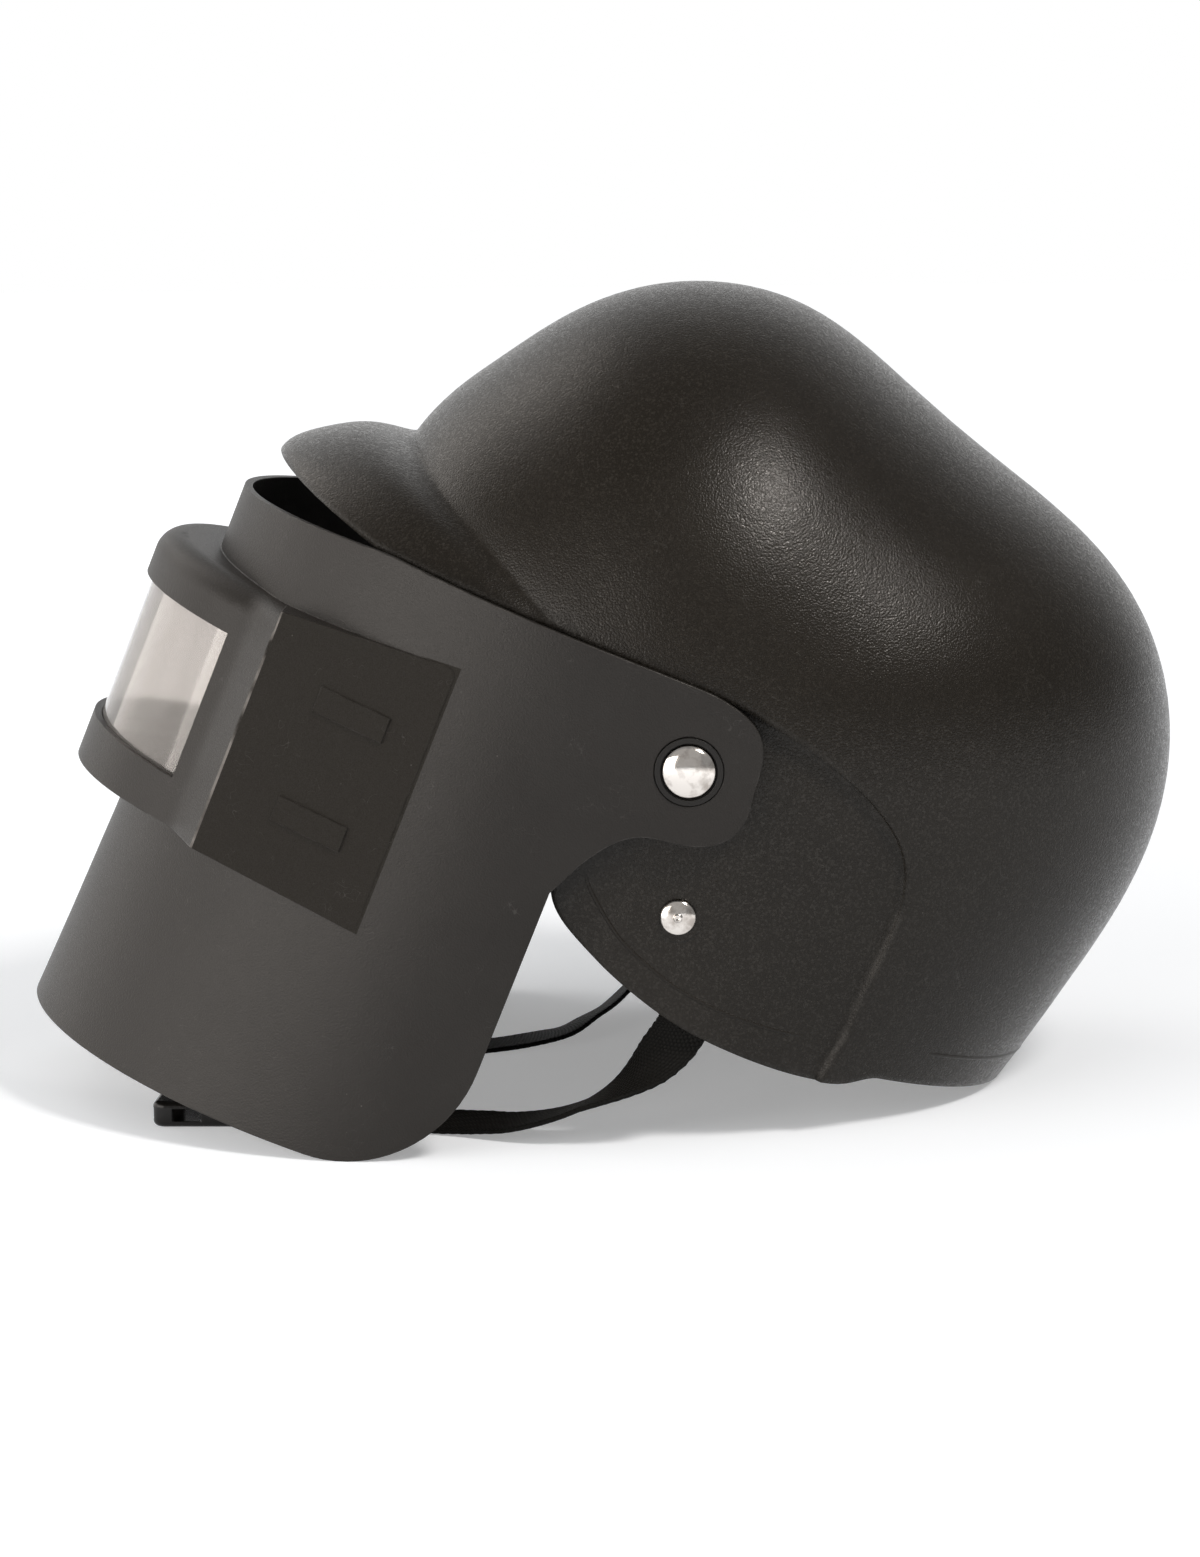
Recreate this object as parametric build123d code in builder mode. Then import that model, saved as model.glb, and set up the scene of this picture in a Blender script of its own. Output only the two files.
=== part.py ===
from build123d import *
from math import asin, atan2, cos, degrees, hypot, radians, sin
import os

# Riot helmet with a swing-up face mask, in millimetres.
# It is drawn worn, about the mask's pivot, and leaned back to stand on the floor
# on the mask's two lower corners and the rear of its rim.
# Left is +X, the face looks towards -Y and up is +Z.
os.makedirs("parts", exist_ok=True)

# Dome: arches about the pivot axis, their radius given every few degrees from the face
# over the top to the nape and the ear flap
dome_radius = 140.0
dome_half_width = 118.0
shell_wall = 3.0
hub_radius = 8.0
arch_fullness_share = 0.58
dome_shares = [
    (24, 0.911), (40, 0.934), (52, 0.968), (62, 0.993), (72, 1.0), (83, 0.984), (92, 0.950),
    (101, 0.917), (110, 0.907), (119, 0.925), (128, 0.969), (136, 1.020), (144, 1.067),
    (152, 1.099), (160, 1.115), (170, 1.114), (180, 1.097), (192, 1.081), (202, 1.094),
    (212, 1.135), (225, 1.25), (245, 1.62), (270, 1.95), (300, 2.0),
]
flap_shares = [(-61, 2.0), (-30, 1.5), (0, 1.0), (25, 0.911)]
seam_step = 0.05

# Ear panels, let into the dome's sides
ear_depth = 4.0
ear_radius_share = 0.95
ear_fullness_share = 0.68
ear_top = 23.2
# rear edge of the panel as shares of the dome's radius, rearward and up
ear_edge_shares = [
    (0.150, 0.147), (0.286, 0.113), (0.400, 0.067), (0.514, -0.014), (0.575, -0.157),
    (0.596, -0.357), (0.621, -0.514),
]
ear_below = 120.0
# the panel's rear wall leans back more and more towards the rim
ear_wall_points = 12
ear_wall_lean_share = 1.4
ear_wall_mid = 116.0
ear_wall_mid_low = 106.0
ear_wall_start = 96.0
ear_wall_end = 124.0

# Peak over the brow, moulded with the dome
peak_reach = 158.0
peak_shares = [(25.5, 0.803), (23.9, 0.810), (20.5, 0.886), (17.2, 0.941), (14.5, 0.978), (11.7, 1.0)]
peak_inner_shares = [
    (25.5, 0.803, 1.0), (20.5, 0.886, 1.75), (17.2, 0.941, 1.6), (14.5, 0.978, 1.4),
    (11.7, 1.0, 1.25), (7.0, 1.01, 1.2),
]

# Rim of the helmet, seen from the side: rearward and up from the pivot
rim_rear = 138.5
rim_rear_drop = 71.0
rim_side = 92.0
rim_side_drop = 72.6
rim_slope = 0.1
# lower edge of the ear flap as shares of the dome's radius, rearward and up
flap_edge_shares = [
    (-0.166, -0.377), (-0.086, -0.438), (0.004, -0.480), (0.100, -0.515), (0.186, -0.538),
    (0.314, -0.555), (0.430, -0.5615), (0.520, -0.560), (0.592, -0.546),
]
flap_front = 26.0
flap_front_mid = 30.0
flap_front_drop = 45.0
flap_front_round = 60.0
flap_top = 9.5
face_corner = 40.0
face_round = 18.0
face_slope = 0.18

# Face mask
mask_half_width = 121.0
mask_wall = 2.5
mask_bend = 38.0
mask_front = 162.0
mask_front_mid_share = 1.003
mask_front_low_share = 1.036
mask_side_share = 0.5
mask_front_share = 0.52
mask_top = 24.2
mask_top_front = 17.0
mask_top_dip = 107.0
mask_rear = 25.0
mask_low = 148.4
mask_low_front = 162.4
mask_corner = 44.0
mask_corner_up = 49.5
mask_top_round = 60.0
arm_front = 6.0
# rounded end of the arm as shares of the mask's top height, rearward and up
arm_edge_shares = [
    (0.231, 0.942), (0.640, 0.744), (0.789, 0.471), (0.839, 0.087), (0.851, -0.446),
    (0.636, -0.731), (0.355, -0.860), (-0.256, -0.983), (-0.562, -1.215), (-0.814, -1.583),
]
mask_running_gap = 0.2

# Viewport housing that stands out of the mask, and its side boxes
port_radius = 86.0
port_centre = 95.0
port_half_angle = 58.0
port_blend = 20.0
port_top = 4.5
port_low_front = 84.3
port_low_rear = 82.5
port_edge_round = 8.0
# corners of the side boxes as shares of the mask's half width
box_front_share = 0.7686
box_front_set = 131.0
box_rear_share = 0.9463
box_rear_set = 75.0
box_rear_top = 2.0
box_rear_low = 84.0
box_corner = 3.0
window_top = 20.6
window_low = 69.0
window_half_angle = 54.3
box_mark_length = 24.6
box_mark_height = 8.0
box_mark_step = 0.6
box_mark_set = 21.4
box_marks_down_shares = [0.25, 0.708]

# Lens and what holds it
lens_wall = 1.2
lens_lap = 6.5
lens_side_lap = 2.5
lens_clearance = 0.15
peg_radius = 1.5
peg_length = 3.6
peg_clearance = 0.1
peg_half_angle = 38.0
push_washer_radius = 3.6
push_washer_thickness = 0.6

# Pivot rivets
cap_radius = 8.2
cap_height = 3.4
cap_rim = 0.8
arm_recess_radius = 10.5
arm_recess_depth = 0.9
ring_radius = 10.2
ring_bore = 8.6
ring_height = 1.4
pivot_shank = 3.0
running_clearance = 0.08
bush_radius = 12.0
back_washer_radius = 9.0
back_washer_thickness = 1.2
rivet_tail_radius = 5.0
rivet_tail_height = 1.2
post_bore = 1.6
post_pin_clearance = 0.05
seat_gap = 0.05

# Chin strap rivets
strap_rivet_back = 13.8
strap_rivet_drop = 43.6
strap_cap_radius = 5.45
strap_cap_height = 2.2
strap_cap_dimple = 1.1
strap_cap_dimple_depth = 0.4
strap_shank = 1.9
strap_washer_radius = 6.0
strap_washer_thickness = 0.8
strap_tail_radius = 3.4
strap_tail_height = 1.0
strap_bore = 1.0
strap_seat_radius = 7.5
strap_seat_set = 1.2
strap_seat_wall = 3.8
strap_seat_clearance = 0.4

# Chin strap webbing, hanging from its rivets and lying on the floor
web_width = 16.0
web_thickness = 1.6
web_hole = 2.2
# middle of the webbing on the standing helmet as shares of the dome's radius,
# then the direction its width points in
web_left_shares = [
    (0.7725, 0.1853, 0.5721, 0, 1, 0),
    (0.7725, 0.1853, 0.4757, 0, 1, 0),
    (0.7614, 0.186, 0.4329, 0, 1, 0),
    (0.7543, 0.1889, 0.3543, 0, 1, 0),
    (0.7464, 0.196, 0.275, 0, 1, 0),
    (0.7357, 0.1393, 0.1964, 0.45, 0.9, 0),
    (0.725, 0.0571, 0.1286, 0.85, 0.5, 0.12),
    (0.7107, -0.0286, 0.0821, 1, 0, 0.14),
    (0.6893, -0.1071, 0.0521, 1, 0, 0.05),
    (0.6536, -0.1857, 0.0314, 1, 0, -0.06),
    (0.6179, -0.2571, 0.0229, 1, 0, -0.14),
    (0.5893, -0.3286, 0.0179, 1, 0, -0.17),
    (0.5643, -0.4071, 0.0136, 1, 0, -0.1),
    (0.5371, -0.4857, 0.0086, 1, 0, -0.03),
    (0.51, -0.5571, 0.0063, 1, 0, 0),
]
web_right_shares = [
    (-0.7725, 0.1853, 0.5721, 0, 1, 0),
    (-0.7725, 0.1853, 0.4757, 0, 1, 0),
    (-0.7614, 0.186, 0.4329, 0, 1, 0),
    (-0.7543, 0.1903, 0.3543, 0, 1, 0),
    (-0.7443, 0.1917, 0.2893, 0, 1, 0),
    (-0.7214, 0.1786, 0.2071, 0.3, 1, 0.1),
    (-0.675, 0.1357, 0.1393, 0.8, 0.6, 0.3),
    (-0.6, 0.0786, 0.0857, 1, 0.3, 0.25),
    (-0.4893, 0.0143, 0.0486, 1, 0.1, 0.2),
    (-0.3786, -0.0464, 0.0307, 1, 0, 0.1),
    (-0.2893, -0.1107, 0.015, 1, 0, 0.03),
    (-0.225, -0.2, 0.0089, 1, 0, 0),
    (-0.1857, -0.2786, 0.0068, 1, 0, 0),
    (-0.1607, -0.3571, 0.0057, 1, 0, 0),
    (-0.1429, -0.4429, 0.0057, 1, 0, 0),
    (-0.1336, -0.5214, 0.0057, 1, 0, 0),
]

# Unfastened side-release buckle, lying on the floor
buckle_width = 24.0
buckle_thickness = 8.0
buckle_round = 1.8
buckle_corner = 4.0
buckle_slot_length = 3.0
buckle_slot_width = 17.6
buckle_bar = 3.0
buckle_bar_thickness = 3.2
female_length = 30.0
female_middle = (65.8, -123.8)
female_turn = -2.0
female_mouth_depth = 20.0
female_mouth_width = 19.0
female_mouth_height = 4.0
female_window_length = 9.0
female_window_set = 6.5
male_base_length = 14.0
male_reach = 18.0
male_middle = (-14.0, -112.0)
male_turn = 8.0
male_tongue_width = 3.0
male_arm_width = 2.6
male_catch = 2.4
male_thickness = 3.4

# Sewn loop of webbing round the buckle's bar
loop_gap = 0.4
loop_clear = 0.5
loop_taper = 8.5
loop_tail = 10.0
loop_lead = 2.0

# Padding
pad_thickness = 12.0
tape_thickness = 1.4
pad_corner = 12.0
crown_pad_length = 110.0
crown_pad_width = 84.0
crown_pad_back = 8.0
brow_pad_width = 100.0
brow_pad_height = 26.0
brow_pad_up = 66.0
nape_pad_width = 100.0
nape_pad_height = 46.0
nape_pad_drop = 12.0
temple_pad_length = 84.0
temple_pad_height = 34.0
temple_pad_up = 56.0
temple_pad_back = 12.0
tape_radius = 11.0

cut_overrun = 30.0
far = dome_radius + 3 * cut_overrun

# The pivot stands this far behind the middle of the helmet's footprint
pivot_back = 29.84

# How the helmet stands: the rounded mask corner and the rim's rear edge touch the floor
low_slope = (mask_low_front - mask_low) / (mask_front - mask_rear)
corner_back = -mask_rear - mask_corner
corner_up = -mask_low - mask_corner * low_slope + mask_corner * hypot(1, low_slope)
rest_span = hypot(rim_rear - corner_back, corner_up + rim_rear_drop)
lean = atan2(-rim_rear_drop - corner_up, rim_rear - corner_back) + asin(mask_corner / rest_span)
pivot_height = rim_rear * sin(lean) + rim_rear_drop * cos(lean)
worn = Plane(
    origin=(0, pivot_back, pivot_height), x_dir=(1, 0, 0), z_dir=(0, sin(lean), cos(lean))
)


def level(height):
    """Level plane of the worn helmet: x is left, y is rearward."""
    return worn.offset(height)


def side(across):
    """Upright plane facing left: x is rearward, y is up."""
    return Plane(origin=worn.origin + worn.x_dir * across, x_dir=worn.y_dir, z_dir=worn.x_dir)


def along_rivet(back, up):
    """Plane through a rivet's axis: x is left along the rivet."""
    middle = worn.origin + worn.y_dir * back + worn.z_dir * up
    return Plane(origin=middle, x_dir=(1, 0, 0), z_dir=(0, -1, 0))


def turned(back, up, outline, name):
    """A left and a right piece turned about a rivet's axis from its outline."""
    plane = along_rivet(back, up)
    with BuildPart() as left:
        with BuildSketch(plane) as half:
            with BuildLine():
                Polyline(*outline, close=True)
            make_face()
        revolve(half.sketch, axis=Axis(plane.origin, plane.x_dir))
    write(left.part, name + "_left")
    write(mirrored(left.part), name + "_right")


def swung(angle):
    """Plane through the pivot axis, turned up from the face: x is left, y is outward."""
    outward = worn.y_dir * -cos(radians(angle)) + worn.z_dir * sin(radians(angle))
    return Plane(origin=worn.origin, x_dir=worn.x_dir, z_dir=worn.x_dir.cross(outward))


def arches(stations, half_width, fullness, mode=Mode.ADD):
    """Loft of arches about the pivot axis: stations pair an angle with a radius."""
    sections = []
    for angle, reach in stations:
        shoulder = hub_radius + fullness * (reach - hub_radius)
        brow = arch_fullness_share * half_width
        with BuildSketch(swung(angle)) as section:
            with BuildLine():
                Bezier((half_width, hub_radius), (half_width, shoulder), (brow, reach), (0, reach))
                Bezier((0, reach), (-brow, reach), (-half_width, shoulder), (-half_width, hub_radius))
                Line((-half_width, hub_radius), (half_width, hub_radius))
            make_face()
        sections.append(section.sketch)
    loft(sections, mode=mode)


def dome_form(half_width, inset, mode=Mode.ADD):
    """The dome's whole form, this far inside its outer face."""
    form(half_width, dome_radius, inset, arch_fullness_share, mode)


def ear_form(half_width, inset):
    """The ear panels' flatter form, this far inside their outer face."""
    form(half_width, dome_radius * ear_radius_share, inset, ear_fullness_share, Mode.ADD)


def form(half_width, radius, inset, fullness, mode):
    """Two lofts and the core that fills their middle, each a hair inside the one before."""
    stations = [(angle, share * radius - inset) for angle, share in dome_shares]
    arches(stations, half_width, fullness, mode)
    stations = [(angle, share * radius - inset - 2 * seam_step) for angle, share in flap_shares]
    arches(stations, half_width - seam_step, fullness, mode)
    rod(0, 0, hub_radius + shell_wall, seam_step - half_width, half_width - seam_step, mode)


def rod(back, up, radius, start, end, mode=Mode.ADD):
    """Round rod along the pivot's direction, between two places across the helmet."""
    with BuildSketch(side(start)) as disc:
        with Locations((back, up)):
            Circle(radius)
    extrude(disc.sketch, amount=end - start, mode=mode)


def mirrored(left):
    """The right side's piece, made from the left one."""
    with BuildPart() as right:
        mirror(left, about=Plane.YZ)
    return right.part


def write(piece, name):
    piece.label = name
    export_step(piece, f"parts/{name}.step")


# Forms that the shell is cut from
ear_half_width = dome_half_width - ear_depth
ear_inner = ear_half_width - shell_wall
with BuildPart() as dome_inner:
    dome_form(dome_half_width - shell_wall, shell_wall)

with BuildPart() as ear_outer_form:
    ear_form(ear_half_width, 0)

with BuildPart() as ear_inner_form:
    ear_form(ear_inner, shell_wall)

with BuildPart() as peak_inner:
    stations = []
    for angle, share, wall_share in peak_inner_shares:
        stations.append((angle, share * peak_reach - wall_share * shell_wall))
    arches(stations, dome_half_width - shell_wall, arch_fullness_share)

# Ear panel's outline seen from the side, and its hollow with a leaning rear wall
ear_edge = [(a * dome_radius, b * dome_radius) for a, b in ear_edge_shares]
with BuildLine():
    ear_line = Spline((0, ear_top), *ear_edge, tangents=[(1, 0), (0, -1)])


def ear_side(across, wall):
    """Ear panel's outline on one upright plane, moved out by a wall's thickness."""
    edge = []
    for i in range(ear_wall_points + 1):
        share = i / ear_wall_points
        place, way = ear_line @ share, ear_line % share
        run = ear_wall_lean_share * share * share
        middle = ear_wall_mid + (ear_wall_mid_low - ear_wall_mid) * share
        move = run * (abs(across) - middle) + wall * hypot(1, run)
        edge.append((place.X - way.Y * move, place.Y + way.X * move))
    with BuildSketch(side(across)) as outline:
        with BuildLine():
            rear = Spline(*edge, tangents=[(1, 0), (0, -1)])
            Polyline(
                rear @ 1, (edge[-1][0], -ear_below), (-ear_below, -ear_below),
                (-ear_below, edge[0][1]), rear @ 0,
            )
        make_face()
    return outline.sketch


def ear_prism(wall):
    """Ear panels' outline carried across the helmet."""
    places = (-ear_wall_end, -ear_wall_start, ear_wall_start, ear_wall_end)
    loft([ear_side(across, wall) for across in places], ruled=True)


with BuildPart() as ear_hollow:
    ear_prism(0)
    add(ear_outer_form.part, mode=Mode.SUBTRACT)

with BuildPart() as ear_keep:
    ear_prism(shell_wall)

# Space inside the helmet
with BuildPart() as cavity:
    add(dome_inner.part)
    add(ear_keep.part, mode=Mode.SUBTRACT)
    add(ear_inner_form.part)
    add(peak_inner.part)

# Rim of the helmet and its face opening, seen from the side
flap_edge = [(a * dome_radius, b * dome_radius) for a, b in flap_edge_shares]
with BuildPart() as rim_prism:
    with BuildSketch(side(-far)) as rim_outline:
        with BuildLine():
            brow_line = FilletPolyline(
                (-far, flap_top + (far - face_corner) * face_slope),
                (-face_corner, flap_top),
                (-flap_front, -flap_front_mid),
                (-flap_front, -flap_front_drop),
                radius=[face_round, flap_front_round],
            )
            flap_line = Spline(
                brow_line @ 1, *flap_edge, (rim_side, -rim_side_drop),
                tangents=[brow_line % 1, (rim_rear - rim_side, rim_side_drop - rim_rear_drop)],
                tangent_scalars=[1, 1],
            )
            Polyline(
                flap_line @ 1, (rim_rear, -rim_rear_drop),
                (far, -rim_rear_drop - (far - rim_rear) * rim_slope), (far, far), (-far, far),
                brow_line @ 0,
            )
        make_face()
    extrude(rim_outline.sketch, amount=2 * far)

strap_seat_x = ear_half_width - strap_seat_set
with BuildPart() as helmet_shell:
    dome_form(dome_half_width, 0)
    arches([(a, s * peak_reach) for a, s in peak_shares], dome_half_width, arch_fullness_share)
    add(ear_hollow.part, mode=Mode.SUBTRACT)
    add(cavity.part, mode=Mode.SUBTRACT)
    for hand in (1, -1):
        ends = sorted((hand * (strap_seat_x - strap_seat_wall), hand * strap_seat_x))
        rod(strap_rivet_back, -strap_rivet_drop, strap_seat_radius, *ends)
        ends = sorted((hand * strap_seat_x, hand * far))
        rod(strap_rivet_back, -strap_rivet_drop, strap_cap_radius + strap_seat_clearance, *ends,
            Mode.SUBTRACT)
    add(rim_prism.part, mode=Mode.INTERSECT)
    rod(0, 0, pivot_shank + post_pin_clearance, -far, far, Mode.SUBTRACT)
    rod(strap_rivet_back, -strap_rivet_drop, strap_shank + post_pin_clearance, -far, far,
        Mode.SUBTRACT)

write(helmet_shell.part, "helmet_shell")


def mask_skin(inset):
    """Mask's form from level sections: straight sides and a rounded front."""
    half_width = mask_half_width - inset
    heights = [(mask_top + cut_overrun, 1.0), (-mask_low / 2, mask_front_mid_share)]
    heights.append((-mask_low_front - cut_overrun, mask_front_low_share))
    sections = []
    for height, front_share in heights:
        front = inset - mask_front * front_share
        reach = front + mask_bend
        with BuildSketch(level(height)) as section:
            with BuildLine():
                Polyline((-half_width, -mask_bend), (-half_width, cut_overrun),
                         (half_width, cut_overrun), (half_width, -mask_bend))
                Bezier((half_width, -mask_bend), (half_width, mask_side_share * reach - mask_bend),
                       (half_width * mask_front_share, front), (0, front))
                Bezier((0, front), (-half_width * mask_front_share, front),
                       (-half_width, mask_side_share * reach - mask_bend), (-half_width, -mask_bend))
            make_face()
        sections.append(section.sketch)
    loft(sections)


def port_plan(inset):
    """Housing and side boxes seen from above, this far inside their faces."""
    a = radians(port_half_angle)
    corner = (port_radius * sin(a), -port_centre - port_radius * cos(a))
    right = (-corner[0], corner[1])
    with BuildSketch(level(-port_top - inset)) as plan:
        with BuildLine():
            ThreePointArc(corner, (0, -port_centre - port_radius), right)
            Polyline(right, (-box_front, -box_front_set), (-box_rear, -box_rear_set),
                     (box_rear, -box_rear_set), (box_front, -box_front_set), corner)
        make_face()
        if inset:
            offset(amount=-inset, kind=Kind.INTERSECTION)
        blends = plan.vertices().filter_by(
            lambda v: abs(abs(v.X) - corner[0]) < 2 * mask_wall and v.Y < -box_front_set
        )
        fillet(blends, radius=port_blend + inset)
    return plan.sketch


def port_outline(inset, points, corner):
    """Prism across the helmet from a side outline, this far inside it."""
    with BuildPart() as prism:
        with BuildSketch(side(-far)) as outline:
            with BuildLine():
                Polyline(*points, close=True)
            make_face()
            if inset:
                offset(amount=-inset, kind=Kind.INTERSECTION)
            else:
                fillet(outline.vertices().sort_by_distance(corner)[0], radius=box_corner)
        extrude(outline.sketch, amount=2 * far)
    return prism.part


def port_form(inset):
    """Housing with its front top edge rounded, and the boxes' tops rising to the rear."""
    plan = port_plan(inset)
    low_outline = port_outline(inset, [
        (-far, far), (-box_rear_set, far), (-box_rear_set, -box_rear_low),
        (-box_front_set, -port_low_rear), (-port_centre - port_radius, -port_low_front),
        (-far, -port_low_front),
    ], (-box_rear_set, -box_rear_low))
    top_outline = port_outline(inset, [
        (-box_front_set, -port_top), (-box_rear_set, box_rear_top),
        (-box_rear_set, -port_top - cut_overrun), (-box_front_set, -port_top - cut_overrun),
    ], (-box_rear_set, box_rear_top))
    with BuildPart() as block:
        extrude(plan, amount=-port_low_front - cut_overrun)
        top = block.faces().sort_by(Axis(worn.origin, worn.z_dir))[-1]
        front_edges = top.edges().filter_by(
            lambda e: worn.to_local_coords(e.center()).Y < -box_front_set
        )
        fillet(front_edges, radius=port_edge_round - inset)
        add(low_outline, mode=Mode.INTERSECT)
    with BuildPart() as rising_tops:
        extrude(plan, amount=cut_overrun)
        extrude(plan, amount=-cut_overrun)
        add(top_outline, mode=Mode.INTERSECT)
    with BuildPart() as housing:
        add(block.part)
        add(rising_tops.part)
    return housing.part


def port_sector(inner, outer, half_angle, top, bottom, mode):
    """Arc-shaped slab about the viewport's centre."""
    a = radians(half_angle)
    with BuildSketch(level(bottom)) as sector:
        with BuildLine():
            ThreePointArc(
                (outer * sin(a), -port_centre - outer * cos(a)), (0, -port_centre - outer),
                (-outer * sin(a), -port_centre - outer * cos(a)),
            )
            ThreePointArc(
                (inner * sin(a), -port_centre - inner * cos(a)), (0, -port_centre - inner),
                (-inner * sin(a), -port_centre - inner * cos(a)),
            )
            Line((outer * sin(a), -port_centre - outer * cos(a)),
                 (inner * sin(a), -port_centre - inner * cos(a)))
            Line((-outer * sin(a), -port_centre - outer * cos(a)),
                 (-inner * sin(a), -port_centre - inner * cos(a)))
        make_face()
    extrude(sector.sketch, amount=top - bottom, mode=mode)


def port_rods(radius, inner, outer, mode):
    """Short rods pointing out from the viewport's centre, above and below the window."""
    for up in (-window_top + lens_lap / 2, -window_low - lens_lap / 2):
        for angle in (-peg_half_angle, 0, peg_half_angle):
            outward = worn.x_dir * sin(radians(angle)) - worn.y_dir * cos(radians(angle))
            plane = Plane(origin=port_back + worn.z_dir * up + outward * inner, z_dir=outward)
            with BuildSketch(plane) as disc:
                Circle(radius)
            extrude(disc.sketch, amount=outer - inner, mode=mode)


# Face mask
box_front = box_front_share * mask_half_width
box_rear = box_rear_share * mask_half_width
toe = Vector(box_rear - box_front, box_front_set - box_rear_set).normalized()
box_face = Plane(
    origin=worn.origin + worn.x_dir * box_front - worn.y_dir * box_front_set
    - worn.z_dir * port_top,
    x_dir=worn.x_dir * toe.X + worn.y_dir * toe.Y,
    z_dir=worn.x_dir * toe.Y - worn.y_dir * toe.X,
)
port_back = worn.origin - worn.y_dir * port_centre

port_inner_radius = port_radius - mask_wall
lens_outer_radius = port_inner_radius - lens_clearance
lens_inner_radius = lens_outer_radius - lens_wall

port_outer = port_form(0)
port_inner = port_form(mask_wall)
with BuildPart() as mask_form:
    mask_skin(0)
    add(port_outer)

with BuildPart() as mask_hollow:
    mask_skin(mask_wall)
    add(port_inner)

# Mask seen from the side: top edge, rounded arm end, notch, rear edge and bottom edge
arm_edge = [(a * mask_top, b * mask_top) for a, b in arm_edge_shares]
top_slope = (mask_top - mask_top_front) / (mask_front - mask_top_dip)
notch_corner = (-mask_rear, -mask_corner_up)
with BuildPart() as mask_prism:
    with BuildSketch(side(-far)) as mask_outline:
        with BuildLine():
            top_edge = FilletPolyline(
                (-far, mask_top - (far - mask_top_dip) * top_slope), (-mask_top_dip, mask_top),
                (-arm_front, mask_top), radius=mask_top_round,
            )
            Spline(top_edge @ 1, *arm_edge, notch_corner, tangents=[(1, 0), (-1, -2)])
            low_edge = FilletPolyline(
                notch_corner, (-mask_rear, -mask_low),
                (-far, -mask_low - (far - mask_rear) * low_slope), radius=mask_corner,
            )
            Line(low_edge @ 1, top_edge @ 0)
        make_face()
    extrude(mask_outline.sketch, amount=2 * far)

arm_recess_x = mask_half_width - arm_recess_depth
with BuildPart() as visor_shell:
    add(mask_form.part)
    add(mask_hollow.part, mode=Mode.SUBTRACT)
    add(mask_prism.part, mode=Mode.INTERSECT)
    port_sector(
        port_inner_radius - mask_wall, port_radius + mask_wall, window_half_angle,
        -window_top, -window_low, Mode.SUBTRACT,
    )
    port_rods(peg_radius, port_inner_radius - peg_length, port_inner_radius + mask_wall / 2,
              Mode.ADD)
    for hand in (1, -1):
        ends = sorted((hand * arm_recess_x, hand * far))
        rod(0, 0, arm_recess_radius, *ends, Mode.SUBTRACT)
        rod(0, 0, pivot_shank + running_clearance, *sorted((0, hand * far)), Mode.SUBTRACT)
    for down_share in box_marks_down_shares:
        with BuildSketch(box_face) as mark:
            with Locations((
                box_mark_set + box_mark_length / 2, -down_share * (port_low_rear - port_top)
            )):
                Rectangle(box_mark_length, box_mark_height)
        left_mark = extrude(mark.sketch, amount=box_mark_step)
        mirror(left_mark, about=Plane.YZ)
write(visor_shell.part, "visor_shell")

# Lens behind the window, and the push washers on the pegs that hold it
lens_side = degrees(lens_side_lap / port_radius)
with BuildPart() as lens:
    port_sector(
        lens_inner_radius, lens_outer_radius, window_half_angle + lens_side,
        -window_top + lens_lap, -window_low - lens_lap, Mode.ADD,
    )
    port_rods(peg_radius + peg_clearance, lens_inner_radius - lens_wall, port_radius,
              Mode.SUBTRACT)
write(lens.part, "lens")

washer_outer = lens_inner_radius * cos(asin(push_washer_radius / lens_inner_radius)) - seat_gap
with BuildPart() as lens_push_washers:
    port_rods(push_washer_radius, washer_outer - push_washer_thickness, washer_outer, Mode.ADD)
    port_rods(peg_radius + post_pin_clearance, washer_outer - lens_wall, port_radius,
              Mode.SUBTRACT)
write(lens_push_washers.part, "lens_push_washers")

# Pivot rivets, from the outside in: cap, ring, spacer, washer and the post in the cap's shank
cap_seat = arm_recess_x + mask_running_gap
post_seat = ear_inner - back_washer_thickness - 2 * seat_gap
turned(0, 0, [
    (cap_seat + cap_height, 0), (cap_seat + cap_height, cap_radius / 3),
    (cap_seat + cap_height - cap_rim, cap_radius * 2 / 3),
    (cap_seat + cap_rim, cap_radius), (cap_seat, cap_radius), (cap_seat, pivot_shank),
    (post_seat + seat_gap, pivot_shank), (post_seat + seat_gap, post_bore),
    (cap_seat + cap_rim, post_bore), (cap_seat + cap_rim, 0),
], "pivot_cap")
turned(0, 0, [
    (post_seat - rivet_tail_height, 0), (post_seat - rivet_tail_height, rivet_tail_radius),
    (post_seat, rivet_tail_radius), (post_seat, post_bore - post_pin_clearance),
    (cap_seat, post_bore - post_pin_clearance), (cap_seat, 0),
], "pivot_post")
ring_seat = arm_recess_x + seat_gap
bore = pivot_shank + running_clearance
for name, start, end, inner, outer in (
    ("pivot_ring", ring_seat, ring_seat + ring_height, ring_bore, ring_radius),
    ("pivot_bush", ear_half_width + seat_gap, mask_half_width - mask_wall - mask_running_gap,
     bore, bush_radius),
    ("pivot_washer", ear_inner - seat_gap - back_washer_thickness, ear_inner - seat_gap,
     bore, back_washer_radius),
):
    turned(0, 0, [(start, inner), (start, outer), (end, outer), (end, inner)], name)

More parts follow.
